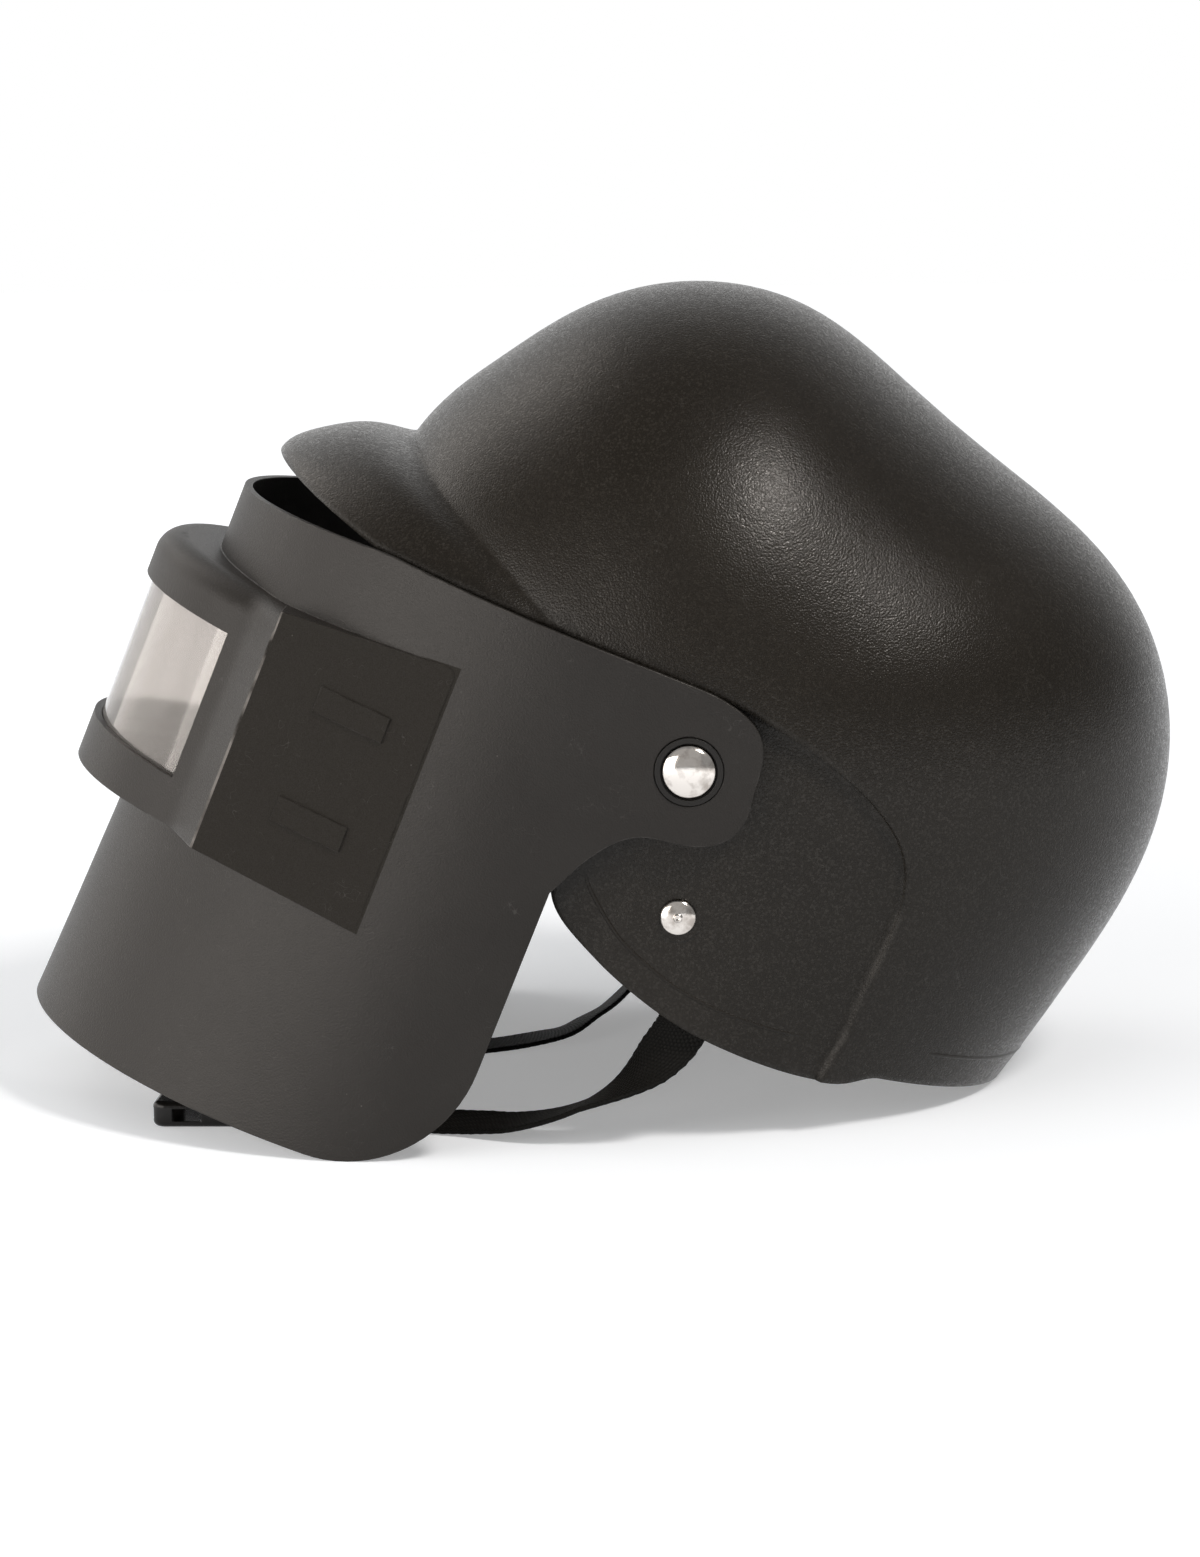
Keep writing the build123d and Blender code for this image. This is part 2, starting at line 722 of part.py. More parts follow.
# Chin strap rivets: cap outside the shell, webbing, washer and post inside
strap_wall_inner = strap_seat_x - strap_seat_wall
web_inner = strap_wall_inner - seat_gap - web_thickness
strap_post_seat = web_inner - 2 * seat_gap - strap_washer_thickness
strap_cap_seat = strap_seat_x + seat_gap
strap_cap_top = strap_cap_seat + strap_cap_height
turned(strap_rivet_back, -strap_rivet_drop, [
    (strap_cap_top - strap_cap_dimple_depth, 0), (strap_cap_top, strap_cap_dimple),
    (strap_cap_seat + strap_cap_height * 2 / 3, strap_cap_radius * 2 / 3),
    (strap_cap_seat, strap_cap_radius), (strap_cap_seat, strap_shank),
    (strap_post_seat + seat_gap, strap_shank), (strap_post_seat + seat_gap, strap_bore),
    (strap_seat_x, strap_bore), (strap_seat_x, 0),
], "strap_cap")
turned(strap_rivet_back, -strap_rivet_drop, [
    (strap_post_seat - strap_tail_height, 0),
    (strap_post_seat - strap_tail_height, strap_tail_radius),
    (strap_post_seat, strap_tail_radius), (strap_post_seat, strap_bore - post_pin_clearance),
    (strap_wall_inner, strap_bore - post_pin_clearance), (strap_wall_inner, 0),
], "strap_post")
washer_start = strap_post_seat + seat_gap
turned(strap_rivet_back, -strap_rivet_drop, [
    (washer_start, strap_shank + running_clearance), (washer_start, strap_washer_radius),
    (washer_start + strap_washer_thickness, strap_washer_radius),
    (washer_start + strap_washer_thickness, strap_shank + running_clearance),
], "strap_washer")

# Buckle halves: x points away from their webbing, z is up
female_plane = Plane(
    origin=(*female_middle, 0), x_dir=(sin(radians(female_turn)), -cos(radians(female_turn)), 0),
    z_dir=(0, 0, 1),
)
male_plane = Plane(
    origin=(*male_middle, 0), x_dir=(sin(radians(male_turn)), -cos(radians(male_turn)), 0),
    z_dir=(0, 0, 1),
)


def buckle_body(plane, length):
    """Rounded block with a slot and a thinner bar for the webbing at its rear end."""
    with BuildSketch(plane) as outline:
        RectangleRounded(length, buckle_width, buckle_corner)
    extrude(outline.sketch, amount=buckle_thickness)
    body = faces().filter_by(Axis.Z).edges()
    fillet(body, radius=buckle_round)
    bar_middle = buckle_bar / 2 - length / 2
    slot_middle = buckle_bar + buckle_slot_length / 2 - length / 2
    with BuildSketch(plane) as slot:
        with Locations((slot_middle, 0)):
            Rectangle(buckle_slot_length, buckle_slot_width)
    extrude(slot.sketch, amount=buckle_thickness, mode=Mode.SUBTRACT)
    bar_low = (buckle_thickness - buckle_bar_thickness) / 2
    with BuildSketch(plane) as bar:
        with Locations((bar_middle, 0)):
            Rectangle(buckle_bar + 2 * seat_gap, buckle_slot_width)
    extrude(bar.sketch, amount=bar_low, mode=Mode.SUBTRACT)
    with BuildSketch(plane.offset(buckle_thickness - bar_low)) as bar_top:
        with Locations((bar_middle, 0)):
            Rectangle(buckle_bar + 2 * seat_gap, buckle_slot_width)
    extrude(bar_top.sketch, amount=bar_low, mode=Mode.SUBTRACT)


def loop(plane, length):
    """Sewn loop of webbing round the bar, ending where the single webbing starts."""
    bar_inner = length / 2 - buckle_bar
    start = bar_inner - loop_gap - web_thickness
    top = buckle_thickness - loop_clear
    clear = loop_clear + web_thickness
    bend = length / 2 + loop_clear
    join = bend + loop_taper
    tail = join + loop_tail
    cross = Plane(
        origin=plane.origin - plane.y_dir * web_width / 2, x_dir=-plane.x_dir, z_dir=plane.y_dir
    )
    with BuildSketch(cross) as layers:
        with BuildLine():
            Polyline(
                (start, loop_clear), (start, top), (bend, top), (join, 2 * web_thickness),
                (tail, 2 * web_thickness), (tail, web_thickness),
                (tail + loop_lead, web_thickness), (tail + loop_lead, 0),
                (bend + loop_taper / 2, 0), (bend, loop_clear), close=True,
            )
        make_face()
        with BuildLine():
            Polyline(
                (start + web_thickness, clear), (start + web_thickness, top - web_thickness),
                (bend, top - web_thickness), (join - web_thickness, web_thickness),
                (bend, clear), close=True,
            )
        make_face(mode=Mode.SUBTRACT)
    extrude(layers.sketch, amount=web_width)
    return plane.origin - plane.x_dir * (tail + loop_lead)


def webbing(rows, plane, length):
    """Flat webbing through the given points, ending in a loop on a buckle half."""
    with BuildPart() as web:
        end = loop(plane, length)
        points = [(Vector(x, y, z) * dome_radius, Vector(*width)) for x, y, z, *width in rows]
        points.append((end + Vector(0, 0, web_thickness / 2), plane.y_dir))
        sections = []
        for i, (point, width) in enumerate(points):
            before = points[max(i - 1, 0)][0]
            after = points[min(i + 1, len(points) - 1)][0]
            along = (after - before).normalized()
            if i == len(points) - 1:
                along = plane.x_dir
            across = (width - along * width.dot(along)).normalized()
            with BuildSketch(Plane(origin=point, x_dir=across, z_dir=along)) as section:
                Rectangle(web_width, web_thickness)
            sections.append(section.sketch)
        loft(sections, ruled=True)
        rod(strap_rivet_back, -strap_rivet_drop, web_hole, -far, far, Mode.SUBTRACT)
    return web.part


with BuildPart() as buckle_female:
    buckle_body(female_plane, female_length)
    mouth_low = (buckle_thickness - female_mouth_height) / 2
    with BuildSketch(female_plane.offset(mouth_low)) as mouth:
        with Locations((female_length / 2 - female_mouth_depth / 2, 0)):
            Rectangle(female_mouth_depth, female_mouth_width)
        with Locations((female_length / 2 - female_window_set - female_window_length / 2, 0)):
            Rectangle(female_window_length, buckle_width)
    extrude(mouth.sketch, amount=female_mouth_height, mode=Mode.SUBTRACT)
write(buckle_female.part, "buckle_female")

male_base_front = male_base_length / 2
male_tip = male_base_front + male_reach
male_outer = female_mouth_width / 2 - peg_clearance
with BuildPart() as buckle_male:
    buckle_body(male_plane, male_base_length)
    with BuildSketch(male_plane.offset((buckle_thickness - male_thickness) / 2)) as prongs:
        with BuildLine():
            Polyline(
                (0, male_outer - male_arm_width), (0, male_outer),
                (male_tip - female_window_set - female_window_length / 3, male_outer),
                (male_tip - female_window_set, male_outer + male_catch),
                (male_tip - female_window_set / 2, male_outer + male_catch / 2),
                (male_tip, male_outer - male_arm_width), close=True,
            )
        make_face()
        mirror(about=Plane.XZ)
        with Locations(((male_tip - male_catch) / 2, 0)):
            Rectangle(male_tip - male_catch, male_tongue_width)
    extrude(prongs.sketch, amount=male_thickness)
write(buckle_male.part, "buckle_male")

write(webbing(web_left_shares, female_plane, female_length), "strap_web_left")
write(webbing(web_right_shares, male_plane, male_base_length), "strap_web_right")


# Padding: slices between forms that follow the dome's inside
tape_drop = shell_wall + 2 * seat_gap
pad_drop = tape_drop + tape_thickness + seat_gap
with BuildPart() as tape_face:
    dome_form(dome_half_width - tape_drop, tape_drop)

with BuildPart() as tape_back:
    dome_form(dome_half_width - tape_drop - tape_thickness, tape_drop + tape_thickness)

with BuildPart() as pad_face:
    dome_form(dome_half_width - pad_drop, pad_drop)

with BuildPart() as pad_back:
    dome_form(dome_half_width - pad_drop - pad_thickness, pad_drop + pad_thickness)


def pad_from(plane, width, height):
    """One pad: a rounded outline, out from the given plane to the dome's inside."""
    with BuildPart() as block:
        with BuildSketch(plane) as outline:
            RectangleRounded(width, height, min(pad_corner, height / 3))
        extrude(outline.sketch, amount=far)
        add(pad_face.part, mode=Mode.INTERSECT)
        add(pad_back.part, mode=Mode.SUBTRACT)
    return block.part


def tapes_from(plane, spread):
    """Two round hook tapes behind a pad."""
    with BuildPart() as block:
        with BuildSketch(plane) as outline:
            with Locations((-spread, 0), (spread, 0)):
                Circle(tape_radius)
        extrude(outline.sketch, amount=far)
        add(tape_face.part, mode=Mode.INTERSECT)
        add(tape_back.part, mode=Mode.SUBTRACT)
    return block.part


crown_plane = Plane(
    origin=worn.origin + worn.y_dir * crown_pad_back + worn.z_dir * cut_overrun,
    x_dir=worn.y_dir, z_dir=worn.z_dir,
)
brow_plane = Plane(
    origin=worn.origin + worn.z_dir * brow_pad_up - worn.y_dir * cut_overrun,
    x_dir=worn.x_dir, z_dir=-worn.y_dir,
)
nape_plane = Plane(
    origin=worn.origin - worn.z_dir * nape_pad_drop + worn.y_dir * cut_overrun,
    x_dir=worn.x_dir, z_dir=worn.y_dir,
)
temple_plane = Plane(
    origin=worn.origin + worn.z_dir * temple_pad_up + worn.y_dir * temple_pad_back
    + worn.x_dir * cut_overrun,
    x_dir=worn.y_dir, z_dir=worn.x_dir,
)
crown_pad = pad_from(crown_plane, crown_pad_length, crown_pad_width)
brow_pad = pad_from(brow_plane, brow_pad_width, brow_pad_height)
nape_pad = pad_from(nape_plane, nape_pad_width, nape_pad_height)
temple_pad = pad_from(temple_plane, temple_pad_length, temple_pad_height)

crown_tapes = tapes_from(crown_plane, crown_pad_length / 4)
brow_tapes = tapes_from(brow_plane, brow_pad_width / 4)
nape_tapes = tapes_from(nape_plane, nape_pad_width / 4)
temple_tapes = tapes_from(temple_plane, temple_pad_length / 4)
with BuildPart() as hook_tapes:
    for tapes in (crown_tapes, brow_tapes, nape_tapes, temple_tapes, mirrored(temple_tapes)):
        add(tapes)

for name, pad in (
    ("crown_pad", crown_pad), ("brow_pad", brow_pad), ("nape_pad", nape_pad),
    ("temple_pad_left", temple_pad), ("temple_pad_right", mirrored(temple_pad)),
    ("pad_hook_tapes", hook_tapes.part),
):
    write(pad, name)
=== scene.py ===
import math
import bmesh
import bpy
from mathutils import Matrix, Vector
from mathutils.bvhtree import BVHTree


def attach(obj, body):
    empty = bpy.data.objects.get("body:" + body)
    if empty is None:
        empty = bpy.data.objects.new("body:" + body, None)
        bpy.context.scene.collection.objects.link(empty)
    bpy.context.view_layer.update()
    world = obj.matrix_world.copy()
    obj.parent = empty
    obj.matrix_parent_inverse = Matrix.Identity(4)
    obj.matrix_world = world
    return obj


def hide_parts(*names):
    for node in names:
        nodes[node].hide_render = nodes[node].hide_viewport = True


# Riot helmet with a swing-up face mask, dressed for the picture. Metres, in the frame's own axes:
# left is +X, the face looks towards -Y, up is +Z.
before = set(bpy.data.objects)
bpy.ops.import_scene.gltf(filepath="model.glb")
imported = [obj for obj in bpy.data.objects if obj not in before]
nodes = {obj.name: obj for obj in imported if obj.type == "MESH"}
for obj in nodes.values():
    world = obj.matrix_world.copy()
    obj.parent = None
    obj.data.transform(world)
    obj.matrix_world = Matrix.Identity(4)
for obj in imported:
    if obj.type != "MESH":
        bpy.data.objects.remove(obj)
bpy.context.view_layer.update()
MM = 0.001

# The worn helmet's own directions, about the mask's pivot: it stands leaned back by this angle
LEAN = math.radians(22.3314)
PIVOT = Vector((0.0, 0.02984, 0.1183))
REARWARD = Vector((0.0, math.cos(LEAN), -math.sin(LEAN)))
UPWARD = Vector((0.0, math.sin(LEAN), math.cos(LEAN)))
LEFTWARD = Vector((1.0, 0.0, 0.0))


def worn_way(left, rear, up):
    """A direction given on the worn helmet."""
    return LEFTWARD * left + REARWARD * rear + UPWARD * up


def worn(left, rear, up):
    """A point given on the worn helmet in millimetres from the pivot."""
    return PIVOT + worn_way(left, rear, up) * MM


# Node trees

def shader_group(name, inputs, outputs):
    """A shared shader node group: inputs pair a name with its usual value."""
    tree = bpy.data.node_groups.new(name, "ShaderNodeTree")
    for label, value in inputs:
        socket = tree.interface.new_socket(label, in_out="INPUT", socket_type="NodeSocketFloat")
        socket.default_value = value
    for label, kind in outputs:
        tree.interface.new_socket(label, in_out="OUTPUT", socket_type="NodeSocket" + kind)
    return tree, tree.nodes.new("NodeGroupInput"), tree.nodes.new("NodeGroupOutput")


def put(tree, kind, settings=(), **inputs):
    """A node with its settings and inputs: a socket feeds an input, anything else is its value."""
    node = tree.nodes.new(kind)
    for key, value in dict(settings).items():
        setattr(node, key, value)
    for key, value in inputs.items():
        place = int(key[1:]) if key[1:].isdigit() else key.replace("_", " ")
        if isinstance(value, bpy.types.NodeSocket):
            tree.links.new(value, node.inputs[place])
        else:
            node.inputs[place].default_value = value
    return node


def maths(tree, operation, a, b=0.0, c=0.0):
    """The result of one operation on up to three numbers or sockets."""
    return put(tree, "ShaderNodeMath", {"operation": operation}, i0=a, i1=b, i2=c).outputs[0]


def noise(tree, place, size, detail, **more):
    """Smooth noise at a place, at this scale."""
    node = put(tree, "ShaderNodeTexNoise", {}, Vector=place, Scale=size, Detail=detail, **more)
    return node.outputs[0]


def spread(tree, value, low, high, to_low=0.0, to_high=1.0):
    """The value's range from low to high, spread over another and held at its ends."""
    node = put(tree, "ShaderNodeMapRange", {}, i0=value, i1=low, i2=high, i3=to_low, i4=to_high)
    return node.outputs[0]


def scaled_place(tree, size):
    """Place on the piece, counted in steps of this size."""
    place = put(tree, "ShaderNodeTexCoord")
    steps = maths(tree, "DIVIDE", 1.0, size)
    node = put(tree, "ShaderNodeVectorMath", {"operation": "SCALE"}, i0=place.outputs["Object"])
    tree.links.new(steps, node.inputs["Scale"])
    return node.outputs[0]


def moulded_grain():
    """Fine pebbled grain of a textured mould, with the slow change of tone that plastic shows."""
    tree, given, made = shader_group(
        "moulded_grain", [("Grain Size", 0.0011), ("Patch Size", 0.05)],
        [("Height", "Float"), ("Tone", "Float"), ("Gloss", "Float"), ("Sparkle", "Float")])
    place = scaled_place(tree, given.outputs["Grain Size"])
    pebbles = put(tree, "ShaderNodeTexVoronoi", {"feature": "SMOOTH_F1"}, Vector=place, Scale=1.0,
                  Smoothness=0.6)
    fine = noise(tree, place, 1.7, 3.0, Roughness=0.6)
    height = maths(tree, "MULTIPLY_ADD", fine, 0.6, maths(
        tree, "SUBTRACT", 0.7, pebbles.outputs["Distance"]))
    patch = noise(tree, scaled_place(tree, given.outputs["Patch Size"]), 1.0, 4.0, Roughness=0.55)
    cells = put(tree, "ShaderNodeTexVoronoi", {}, Vector=place, Scale=1.0)
    chance = put(tree, "ShaderNodeSeparateColor", {}, Color=cells.outputs["Color"])
    tree.links.new(height, made.inputs["Height"])
    tree.links.new(spread(tree, patch, 0.3, 0.7), made.inputs["Tone"])
    tree.links.new(spread(tree, fine, 0.35, 0.65), made.inputs["Gloss"])
    tree.links.new(spread(tree, chance.outputs[0], 0.6, 1.0), made.inputs["Sparkle"])
    return tree


def handling_marks():
    """Hairline scuffs and pale specks of dust."""
    tree, given, made = shader_group(
        "handling_marks", [("Scuff Length", 0.012), ("Speck Size", 0.006), ("Amount", 0.5)],
        [("Scuffs", "Float"), ("Specks", "Float")])
    place = scaled_place(tree, given.outputs["Scuff Length"])
    hairs = None
    for turn, seed in (((0.5, 0.2, 0.3), 3.0), ((-0.4, 0.3, 1.2), 11.0)):
        drawn = put(tree, "ShaderNodeMapping", {}, Vector=place, Location=(seed, 0.0, seed),
                    Rotation=turn, Scale=(0.3, 3.0, 3.0))
        strokes = noise(tree, drawn.outputs[0], 1.0, 1.0)
        off = maths(tree, "ABSOLUTE", maths(tree, "SUBTRACT", strokes, 0.5))
        thin = spread(tree, off, 0.0, 0.006, 1.0, 0.0)
        kept = noise(tree, drawn.outputs[0], 0.4, 1.0)
        hair = maths(tree, "MULTIPLY", thin, spread(tree, kept, 0.6, 0.68))
        hairs = hair if hairs is None else maths(tree, "MAXIMUM", hairs, hair)
    scuffs = maths(tree, "MULTIPLY", hairs, given.outputs["Amount"])
    dots = put(tree, "ShaderNodeTexVoronoi", {}, Scale=1.0,
               Vector=scaled_place(tree, given.outputs["Speck Size"]))
    few = put(tree, "ShaderNodeSeparateColor", {}, Color=dots.outputs["Color"])
    small = spread(tree, dots.outputs["Distance"], 0.02, 0.05, 1.0, 0.0)
    specks = maths(tree, "MULTIPLY", small, spread(tree, few.outputs[0], 0.8, 0.85))
    tree.links.new(scuffs, made.inputs["Scuffs"])
    tree.links.new(maths(tree, "MULTIPLY", specks, given.outputs["Amount"]), made.inputs["Specks"])
    return tree


def softened_edges():
    """Rounded look for a moulded edge, and a mask of where it is rubbed pale."""
    tree, given, made = shader_group(
        "softened_edges", [("Edge Radius", 0.0007), ("Rub", 0.6)],
        [("Normal", "Vector"), ("Rubbed", "Float")])
    soft = put(tree, "ShaderNodeBevel", {"samples": 6})
    tree.links.new(given.outputs["Edge Radius"], soft.inputs["Radius"])
    true = put(tree, "ShaderNodeNewGeometry")
    agree = put(tree, "ShaderNodeVectorMath", {"operation": "DOT_PRODUCT"}, i0=soft.outputs[0],
                i1=true.outputs["Normal"])
    turned = spread(tree, agree.outputs["Value"], 0.995, 0.93)
    place = put(tree, "ShaderNodeTexCoord")
    patchy = spread(tree, noise(tree, place.outputs["Object"], 160.0, 3.0), 0.4, 0.65)
    rubbed = maths(tree, "MULTIPLY", maths(tree, "MULTIPLY", turned, patchy), given.outputs["Rub"])
    tree.links.new(soft.outputs[0], made.inputs["Normal"])
    tree.links.new(rubbed, made.inputs["Rubbed"])
    return tree


def webbing_weave():
    """Ribs of narrow webbing from its own map: across in the first number, along in the second."""
    tree, given, made = shader_group(
        "webbing_weave", [("Rib Length", 0.0014), ("Yarn Width", 0.0010)],
        [("Height", "Float"), ("Tone", "Float")])
    flat = put(tree, "ShaderNodeUVMap", {"uv_map": "webbing"})
    parts = put(tree, "ShaderNodeSeparateXYZ", {}, i0=flat.outputs[0])
    across = maths(tree, "DIVIDE", parts.outputs[0], given.outputs["Yarn Width"])
    along = maths(tree, "DIVIDE", parts.outputs[1], given.outputs["Rib Length"])
    column = maths(tree, "FLOOR", across)
    shifted = maths(tree, "MULTIPLY_ADD", column, 0.5, along)
    yarn = maths(tree, "SINE", maths(tree, "MULTIPLY", maths(tree, "FRACT", across), math.pi))
    rib = maths(tree, "SINE", maths(tree, "MULTIPLY", maths(tree, "FRACT", shifted), math.pi))
    height = maths(tree, "MULTIPLY", maths(tree, "POWER", yarn, 0.6),
                   maths(tree, "POWER", rib, 0.7))
    place = put(tree, "ShaderNodeTexCoord")
    fuzz = noise(tree, place.outputs["Object"], 2600.0, 2.0)
    # painted shade: the tone follows the weave's height, darker in the hollows between yarns and
    # ribs, lighter on their raised tops
    tone = maths(tree, "MULTIPLY_ADD", fuzz, 0.4, maths(tree, "MULTIPLY", height, 0.6))
    tree.links.new(maths(tree, "MULTIPLY_ADD", fuzz, 0.25, height), made.inputs["Height"])
    tree.links.new(tone, made.inputs["Tone"])
    return tree


def knitted_cover():
    """Close knit of a pad's brushed cover."""
    tree, given, made = shader_group(
        "knitted_cover", [("Loop Size", 0.0012), ("Patch Size", 0.03)],
        [("Height", "Float"), ("Tone", "Float")])
    place = scaled_place(tree, given.outputs["Loop Size"])
    loops = put(tree, "ShaderNodeTexVoronoi", {"feature": "F1"}, Vector=place, Scale=1.0,
                Randomness=0.35)
    fuzz = noise(tree, place, 2.5, 3.0)
    patch = noise(tree, scaled_place(tree, given.outputs["Patch Size"]), 1.0, 3.0)
    height = maths(tree, "MULTIPLY_ADD", fuzz, 0.5, maths(
        tree, "SUBTRACT", 0.8, loops.outputs["Distance"]))
    tree.links.new(height, made.inputs["Height"])
    tree.links.new(maths(tree, "MULTIPLY_ADD", patch, 0.6, maths(
        tree, "MULTIPLY", loops.outputs["Distance"], 0.5)), made.inputs["Tone"])
    return tree


GRAIN = moulded_grain()
MARKS = handling_marks()
EDGES = softened_edges()
WEAVE = webbing_weave()
KNIT = knitted_cover()


# Materials

def finish_material(name, **constants):
    """A material with its shader, which holds the numbers that are the same all over."""
    material = bpy.data.materials.new(name)
    material.use_nodes = True
    tree = material.node_tree
    shader = tree.nodes["Principled BSDF"]
    for key, value in constants.items():
        shader.inputs[key.replace("_", " ")].default_value = value
    return material, tree, shader


def effect(tree, group, **inputs):
    """One use of a shared group, with its own values."""
    node = tree.nodes.new("ShaderNodeGroup")
    node.node_tree = group
    for key, value in inputs.items():
        node.inputs[key.replace("_", " ")].default_value = value
    return node


def blended(tree, share, low, high):
    """A colour between two, by the share; either may be a socket."""
    node = tree.nodes.new("ShaderNodeMix")
    node.data_type = "RGBA"
    for place, value in ((0, share), (6, low), (7, high)):
        if isinstance(value, bpy.types.NodeSocket):
            tree.links.new(value, node.inputs[place])
        else:
            node.inputs[place].default_value = value
    return node.outputs[2]


# Colours of what lies on a surface or was worn into it, of the side box's flat face, and a painted
# highlight along that face's front edge
DUST = (0.30, 0.28, 0.26, 1.0)
SCUFFED = (0.12, 0.115, 0.11, 1.0)
FACE_TONE = (0.0075, 0.0058, 0.0035, 1.0)
FACE_FRONT_HIGHLIGHT = (0.15, 0.14, 0.13, 1.0)
TARNISH = (0.22, 0.18, 0.15, 1.0)
METAL_DUST = (0.12, 0.09, 0.07, 1.0)


def bumped(tree, shader, strength, distance, height, **more):
    """Raises the shader's surface by this height."""
    bump = put(tree, "ShaderNodeBump", {}, Strength=strength, Distance=distance, Height=height,
               **more)
    tree.links.new(bump.outputs[0], shader.inputs["Normal"])


def moulded_plastic(name, dark, light, rubbed, rough, grain, depth, edge, scuffs, shine=0.27,
                    sparkle=0.0, smooth_face=None):
    """Textured moulded plastic: grain, slow tone change, scuffs, dust, rubbed edges and painted
    glints in its grain.
    smooth_face gives a flat face, on both sides, that was left nearly untextured, with a painted
    highlight along its front edge."""
    material, tree, shader = finish_material(name, Specular_IOR_Level=shine)
    surface = effect(tree, GRAIN, Grain_Size=grain)
    marks = effect(tree, MARKS, Amount=scuffs)
    edges = effect(tree, EDGES, Edge_Radius=edge, Rub=0.35)
    tone = blended(tree, surface.outputs["Tone"], dark, light)
    glint = maths(tree, "MULTIPLY_ADD", surface.outputs["Sparkle"], -sparkle, 1.0)
    rough = maths(tree, "MULTIPLY", glint, spread(
        tree, surface.outputs["Gloss"], 0.0, 1.0, 0.8 * rough, 1.2 * rough))
    # painted glints: random grain cells lightened towards the rubbed colour, standing in for grains
    # that catch the light
    painted_glints = maths(tree, "MULTIPLY", surface.outputs["Sparkle"], 0.5 * sparkle)
    tone = blended(tree, painted_glints, tone, rubbed)
    height = surface.outputs["Height"]
    if smooth_face:
        flat, front = face_mask(tree, **smooth_face)
        tone = blended(tree, flat, tone, FACE_TONE)
        rough = maths(tree, "MULTIPLY_ADD", flat, 0.32, rough)
        height = maths(tree, "MULTIPLY", height, maths(tree, "MULTIPLY_ADD", flat, -0.8, 1.0))
        calm = maths(tree, "MULTIPLY_ADD", flat, -0.75, 1.0)
        tone = blended(tree, maths(tree, "MULTIPLY", edges.outputs["Rubbed"], calm), tone, rubbed)
        # painted highlight: a pale, patchy line along the side box's front edge
        tone = blended(tree, front, tone, FACE_FRONT_HIGHLIGHT)
    else:
        tone = blended(tree, edges.outputs["Rubbed"], tone, rubbed)
    tone = blended(tree, marks.outputs["Specks"], tone, DUST)
    tone = blended(tree, marks.outputs["Scuffs"], tone, SCUFFED)
    tree.links.new(tone, shader.inputs["Base Color"])
    rough = maths(tree, "MULTIPLY_ADD", edges.outputs["Rubbed"], -0.15, rough)
    tree.links.new(rough, shader.inputs["Roughness"])
    bumped(tree, shader, 0.8, depth, height, Normal=edges.outputs["Normal"])
    return material


def face_mask(tree, place, way, length, height, top_rise, low_drop):
    """1 on a flat face of the left side and on its mirror image, and 1 along its front edge, where
    a highlight is painted.
    place is the face's upper front corner and way the direction that it looks in; its upper and
    lower edges spread by these slopes."""
    margin = 0.0006
    where = put(tree, "ShaderNodeTexCoord")
    parts = put(tree, "ShaderNodeSeparateXYZ", {}, i0=where.outputs["Object"])
    folded = put(tree, "ShaderNodeCombineXYZ", {}, i0=maths(tree, "ABSOLUTE", parts.outputs[0]),
                 i1=parts.outputs[1], i2=parts.outputs[2])

    def reach(line):
        off = put(tree, "ShaderNodeVectorMath", {"operation": "DOT_PRODUCT"}, i0=folded.outputs[0],
                  i1=tuple(line))
        return maths(tree, "SUBTRACT", off.outputs["Value"], Vector(place).dot(line))

    back = reach(UPWARD.cross(way).normalized())
    down = reach(-UPWARD)
    inside = maths(tree, "MULTIPLY", maths(
        tree, "GREATER_THAN", maths(tree, "MULTIPLY_ADD", back, top_rise, down), -margin), maths(
        tree, "LESS_THAN", maths(tree, "MULTIPLY_ADD", back, -low_drop, down), height))
    inside = maths(tree, "MULTIPLY", inside, maths(tree, "LESS_THAN", back, length))
    flat = maths(tree, "MULTIPLY", inside, spread(tree, reach(way), -margin, -margin / 2))
    uneven = noise(tree, where.outputs["Object"], 120.0, 5.0)
    # the front edge's line, made patchy, is where the painted highlight goes
    line = maths(tree, "MULTIPLY", flat, maths(tree, "LESS_THAN", back, margin))
    return flat, maths(tree, "MULTIPLY", line, spread(tree, uneven, 0.35, 0.65))


def plated_metal(name, colour, low_rough, high_rough):
    """Plated metal with a faint orange-peel, fine rubbing and a little tarnish."""
    material, tree, shader = finish_material(name, Metallic=1.0)
    surface = effect(tree, GRAIN, Grain_Size=0.0014, Patch_Size=0.004)
    marks = effect(tree, MARKS, Scuff_Length=0.003, Speck_Size=0.0022, Amount=0.8)
    dull = spread(tree, surface.outputs["Tone"], 0.45, 1.0, 0.0, 0.6)
    tone = blended(tree, dull, colour, TARNISH)
    tone = blended(tree, marks.outputs["Specks"], tone, METAL_DUST)
    tree.links.new(tone, shader.inputs["Base Color"])
    rough = maths(tree, "MULTIPLY_ADD", marks.outputs["Scuffs"], 0.25, spread(
        tree, surface.outputs["Tone"], 0.0, 1.0, low_rough, high_rough))
    tree.links.new(rough, shader.inputs["Roughness"])
    bumped(tree, shader, 0.1, 0.00005, surface.outputs["Height"])
    return material


